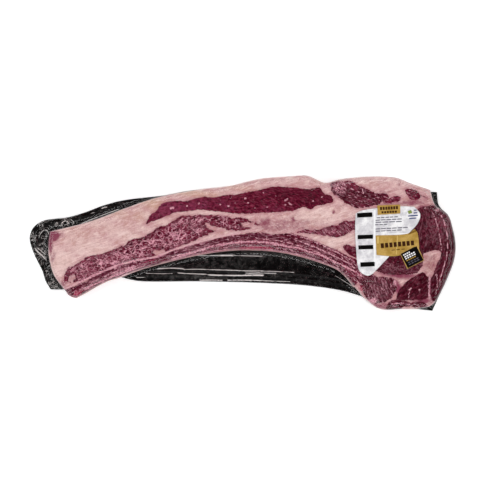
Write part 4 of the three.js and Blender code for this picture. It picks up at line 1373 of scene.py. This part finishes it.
def clear_film():
    """Vacuum film, clear multilayer plastic: see-through, with gloss on its ripples. Along sharp folds
    and in small squiggles a painted white highlight is mixed in, and a painted mottled grey sheen lies
    where it stands clear of the tray."""
    material, add = new_material("clear_vacuum_film")
    place = add("TexCoord", out="Object")
    loose, fold_side, fold_near, painted_glints, painted_sheen = [
        add("Attribute", attribute_name=name, out="Fac") for name in
        ("loose", "fold_side", "fold_near", "painted_glints", "painted_sheen")]
    away = add("Math", fold_side, operation="ABSOLUTE")
    crease = add("MapRange", away, 0.15, 0.75, 1.0, 0.0, **EASED)
    beside = add("MapRange", fold_near, 0.3, 0.7, **EASED)
    crease = add("Math", crease, beside, operation="MULTIPLY")
    folds = add("TexNoise", place, Scale=1 / (6.5 * MM), Detail=0.6, Distortion=0.9)
    height = add("Math", crease, 0.1, operation="MULTIPLY")
    height = add("Math", folds, loose, height, operation="MULTIPLY_ADD")
    bump = add("Bump", Strength=1.0, Distance=5 * MM, Height=height)

    # Painted highlights and sheen: white along the fold crests, broken by noise, and in thin
    # squiggles, with a mottled grey in patches, all laid in as a diffuse white layer over the clear
    # sheet.
    some = add("TexNoise", place, Scale=1 / (6 * MM))
    broken = add("MapRange", some, 0.32, 0.5, 0.5, 1.0, **EASED)
    white = add("Math", crease, broken, operation="MULTIPLY")
    white = add("Math", white, 0.95, operation="MULTIPLY")
    gate = add("MapRange", some, 0.4, 0.6, **EASED)
    lines = add("Math", squiggles(add, place), gate, operation="MULTIPLY")
    lines = add("Math", lines, painted_glints, operation="MULTIPLY")
    white = add("Math", lines, 0.42, white, operation="MULTIPLY_ADD")
    patches = add("TexNoise", place, Scale=1 / (4.2 * MM), Detail=4, Roughness=0.7)
    patches = add("MapRange", patches, 0.45, 0.57, **EASED)
    grey = add("Math", patches, painted_sheen, operation="MULTIPLY")
    white = add("Math", grey, 0.075, white, operation="MULTIPLY_ADD", use_clamp=True)
    painted_light_layer = add("BsdfDiffuse", "#e6e0de")
    add("OutputMaterial", add("MixShader", white, clear_sheet(add, bump), painted_light_layer))
    return material


# The gold sticker's pale streaks are a painted highlight and its darkest gold corner is painted shade;
# the other colours are inks.
INKS = {"black": "#070505", "white": "#f0eff1", "grey": "#625e6b", "blue": "#2c376f",
        "green": "#7c8a48", "brown": "#3a2010", "gold": "#b8934c", "pale": "#d2b56e",
        "painted_shade": "#7c5a24"}


def printed_foil(name, base, painted_shine, blotch, inks):
    """Foil-faced paper sticker with flat ink: satin. Its sheen is painted into its colour, lighter and
    duller in patches that follow the same fine ripples as its bump.
    """
    material, add = new_material(name)
    place = add("TexCoord", out="Object")
    sheen = add("TexNoise", place, Scale=1 / (9 * MM), Detail=4, Roughness=0.6)
    grit = add("TexNoise", place, Scale=1 / (1.3 * MM))
    # Painted sheen: the foil's colour turned lighter and duller in patches.
    colour = tinted(add, base, painted_shine, sheen, 0.35, 0.7)
    colour = tinted(add, colour, blotch, grit, 0.5, 0.78, 0.35)
    cover = 0.0
    for ink in inks:
        depth = add("Attribute", attribute_name="ink_" + ink, out="Fac")
        mask = add("MapRange", depth, -0.06, 0.06, **EASED)
        colour = add("Mix", mask, A_Color=colour, B_Color=INKS[ink], **COLOURS)
        cover = add("Math", mask, cover, operation="MAXIMUM")
    shader = add("BsdfPrincipled", Base_Color=colour, Specular_IOR_Level=0.1, Metallic=0.04,
                 Roughness=add("Math", cover, 0.04, 0.28, operation="MULTIPLY_ADD"),
                 Normal=add("Bump", Strength=0.15, Distance=0.3 * MM, Height=sheen))
    add("OutputMaterial", shader)
    return material


def pale_floor():
    """Matt white-painted board, lit a little from within so that it stays even."""
    material, add = new_material("pale_floor")
    shader = add("BsdfPrincipled", Base_Color="#f6f6f6", Roughness=0.9, Specular_IOR_Level=0.1,
                 Emission_Strength=0.36, Emission_Color="#ffffff")
    add("OutputMaterial", shader)
    return material


# ------------------------------------------------------------------------ floor and light
FLOOR_HALF = 3.0
SKY = 0.04
LAMP_DISTANCE = 1.7
# Each lamp: turn round the pack, lean from straight above, size in metres, watts.
LAMPS = (
    (90, 48, (1.8, 1.0), 14.6), (270, 48, (1.8, 1.0), 14.6),
    (0, 48, (1.8, 1.0), 11.6), (180, 48, (1.8, 1.0), 11.6),
    (40, 44, (0.5, 0.1), 0.5), (135, 44, (0.5, 0.1), 0.5),
    (225, 44, (0.5, 0.1), 0.5), (310, 44, (0.5, 0.1), 0.5),
)
CAMERA_HEIGHT = 9.0
SENSOR_WIDTH = 36.0


def studio():
    """Plain pale floor, four broad soft lamps low round the pack with four small ones
    between, and a dim even sky, so that flat wet faces mirror the dark and slopes catch
    the lamps."""
    mesh = bpy.data.meshes.new("studio_floor")
    corners = [(x * FLOOR_HALF, y * FLOOR_HALF, 0) for x, y in ((-1, -1), (1, -1), (1, 1), (-1, 1))]
    mesh.from_pydata(corners, [], [(0, 1, 2, 3)])
    floor = bpy.data.objects.new("studio_floor", mesh)
    bpy.context.scene.collection.objects.link(floor)
    mesh.materials.append(pale_floor())
    world = bpy.data.worlds.new("studio_sky")
    bpy.context.scene.world = world
    world.use_nodes = True
    world.node_tree.nodes["Background"].inputs[0].default_value = (1, 1, 1, 1)
    world.node_tree.nodes["Background"].inputs[1].default_value = SKY
    for turn, lean, size, power in LAMPS:
        lamp = bpy.data.lights.new("softbox", "AREA")
        lamp.shape, lamp.size, lamp.size_y = "RECTANGLE", *size
        lamp.energy = power
        holder = bpy.data.objects.new("softbox", lamp)
        angle, tilt = math.radians(turn), math.radians(lean)
        away = LAMP_DISTANCE * math.sin(tilt)
        holder.location = (away * math.cos(angle), away * math.sin(angle),
                           LAMP_DISTANCE * math.cos(tilt))
        holder.rotation_euler = (tilt, 0, angle + math.pi / 2)
        bpy.context.scene.collection.objects.link(holder)


def camera():
    """Straight above, from far off, so that the pack's height hardly spreads it."""
    level = STEAK_LOW + 0.75 * STEAK_THICKNESS
    data = bpy.data.cameras.new("overhead")
    data.sensor_width = SENSOR_WIDTH
    data.lens = SENSOR_WIDTH * (CAMERA_HEIGHT - level) / (PHOTO_SIZE * PIXEL)
    data.clip_end = 20
    holder = bpy.data.objects.new("overhead", data)
    holder.location = (*on_table([(PHOTO_SIZE / 2, PHOTO_SIZE / 2)])[0], CAMERA_HEIGHT)
    bpy.context.scene.collection.objects.link(holder)
    bpy.context.scene.camera = holder


# -------------------------------------------------------------------- making every piece
GOLD_FOIL = ("#a5823c", "#c3a05a", "#8c6c34")
# Each sticker: its slot, the cells of its patch, and its foil's plain tone with the bright and dull
# tones of its painted sheen.
LABEL_FINISHES = {
    "label_silver": ("silver_sticker", (150, 165), ("#c8c5ca", "#f4f2f3", "#aeabb1")),
    "label_gold": ("gold_sticker", (96, 46), GOLD_FOIL),
    "label_crest": ("gold_sticker", (56, 26), GOLD_FOIL),
    "label_badge": ("black_sticker", (50, 46), ("#a98648", "#c19d5c", "#8e7040")),
}


def stand_in(piece, material, node):
    """Gives a piece its material and lets it stand in for a node of the part."""
    piece.data.materials.append(material)
    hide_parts(node)
    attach(piece, "root")


def make_meat():
    """The steak, lean and fat in one closed piece."""
    points, faces, downs, under = meat_surface()
    piece = add_piece("raw_steak", points, faces)
    dress_meat(piece, downs, under)
    stand_in(piece, raw_beef(), "steak")


def make_film():
    """The film, an open sheet. It stands in for the steak's node together with the meat."""
    points, faces = film_surface()
    piece = add_piece("vacuum_film", points, faces)
    dress_film(piece, points)
    stand_in(piece, clear_film(), "steak")


def make_label(name, slot, cells, tones):
    """One sticker with its print."""
    points, faces = label_surface(name, cells)
    piece = add_piece(name.replace("label", "sticker"), points, faces)
    dress_label(piece, name, points)
    stand_in(piece, printed_foil(name + "_foil", *tones, PRINTS[name]), name)


camera()
studio()
stand_in(add_piece("black_tray", *tray_surface()), black_tray_pet(), "tray")
stand_in(add_piece("rib_bone_fresh", *rib_surface()), fresh_rib_bone(), "rib_bone")
make_meat()
make_film()
for label, finish in LABEL_FINISHES.items():
    make_label(label, *finish)
bpy.context.scene.view_settings.view_transform = "Standard"
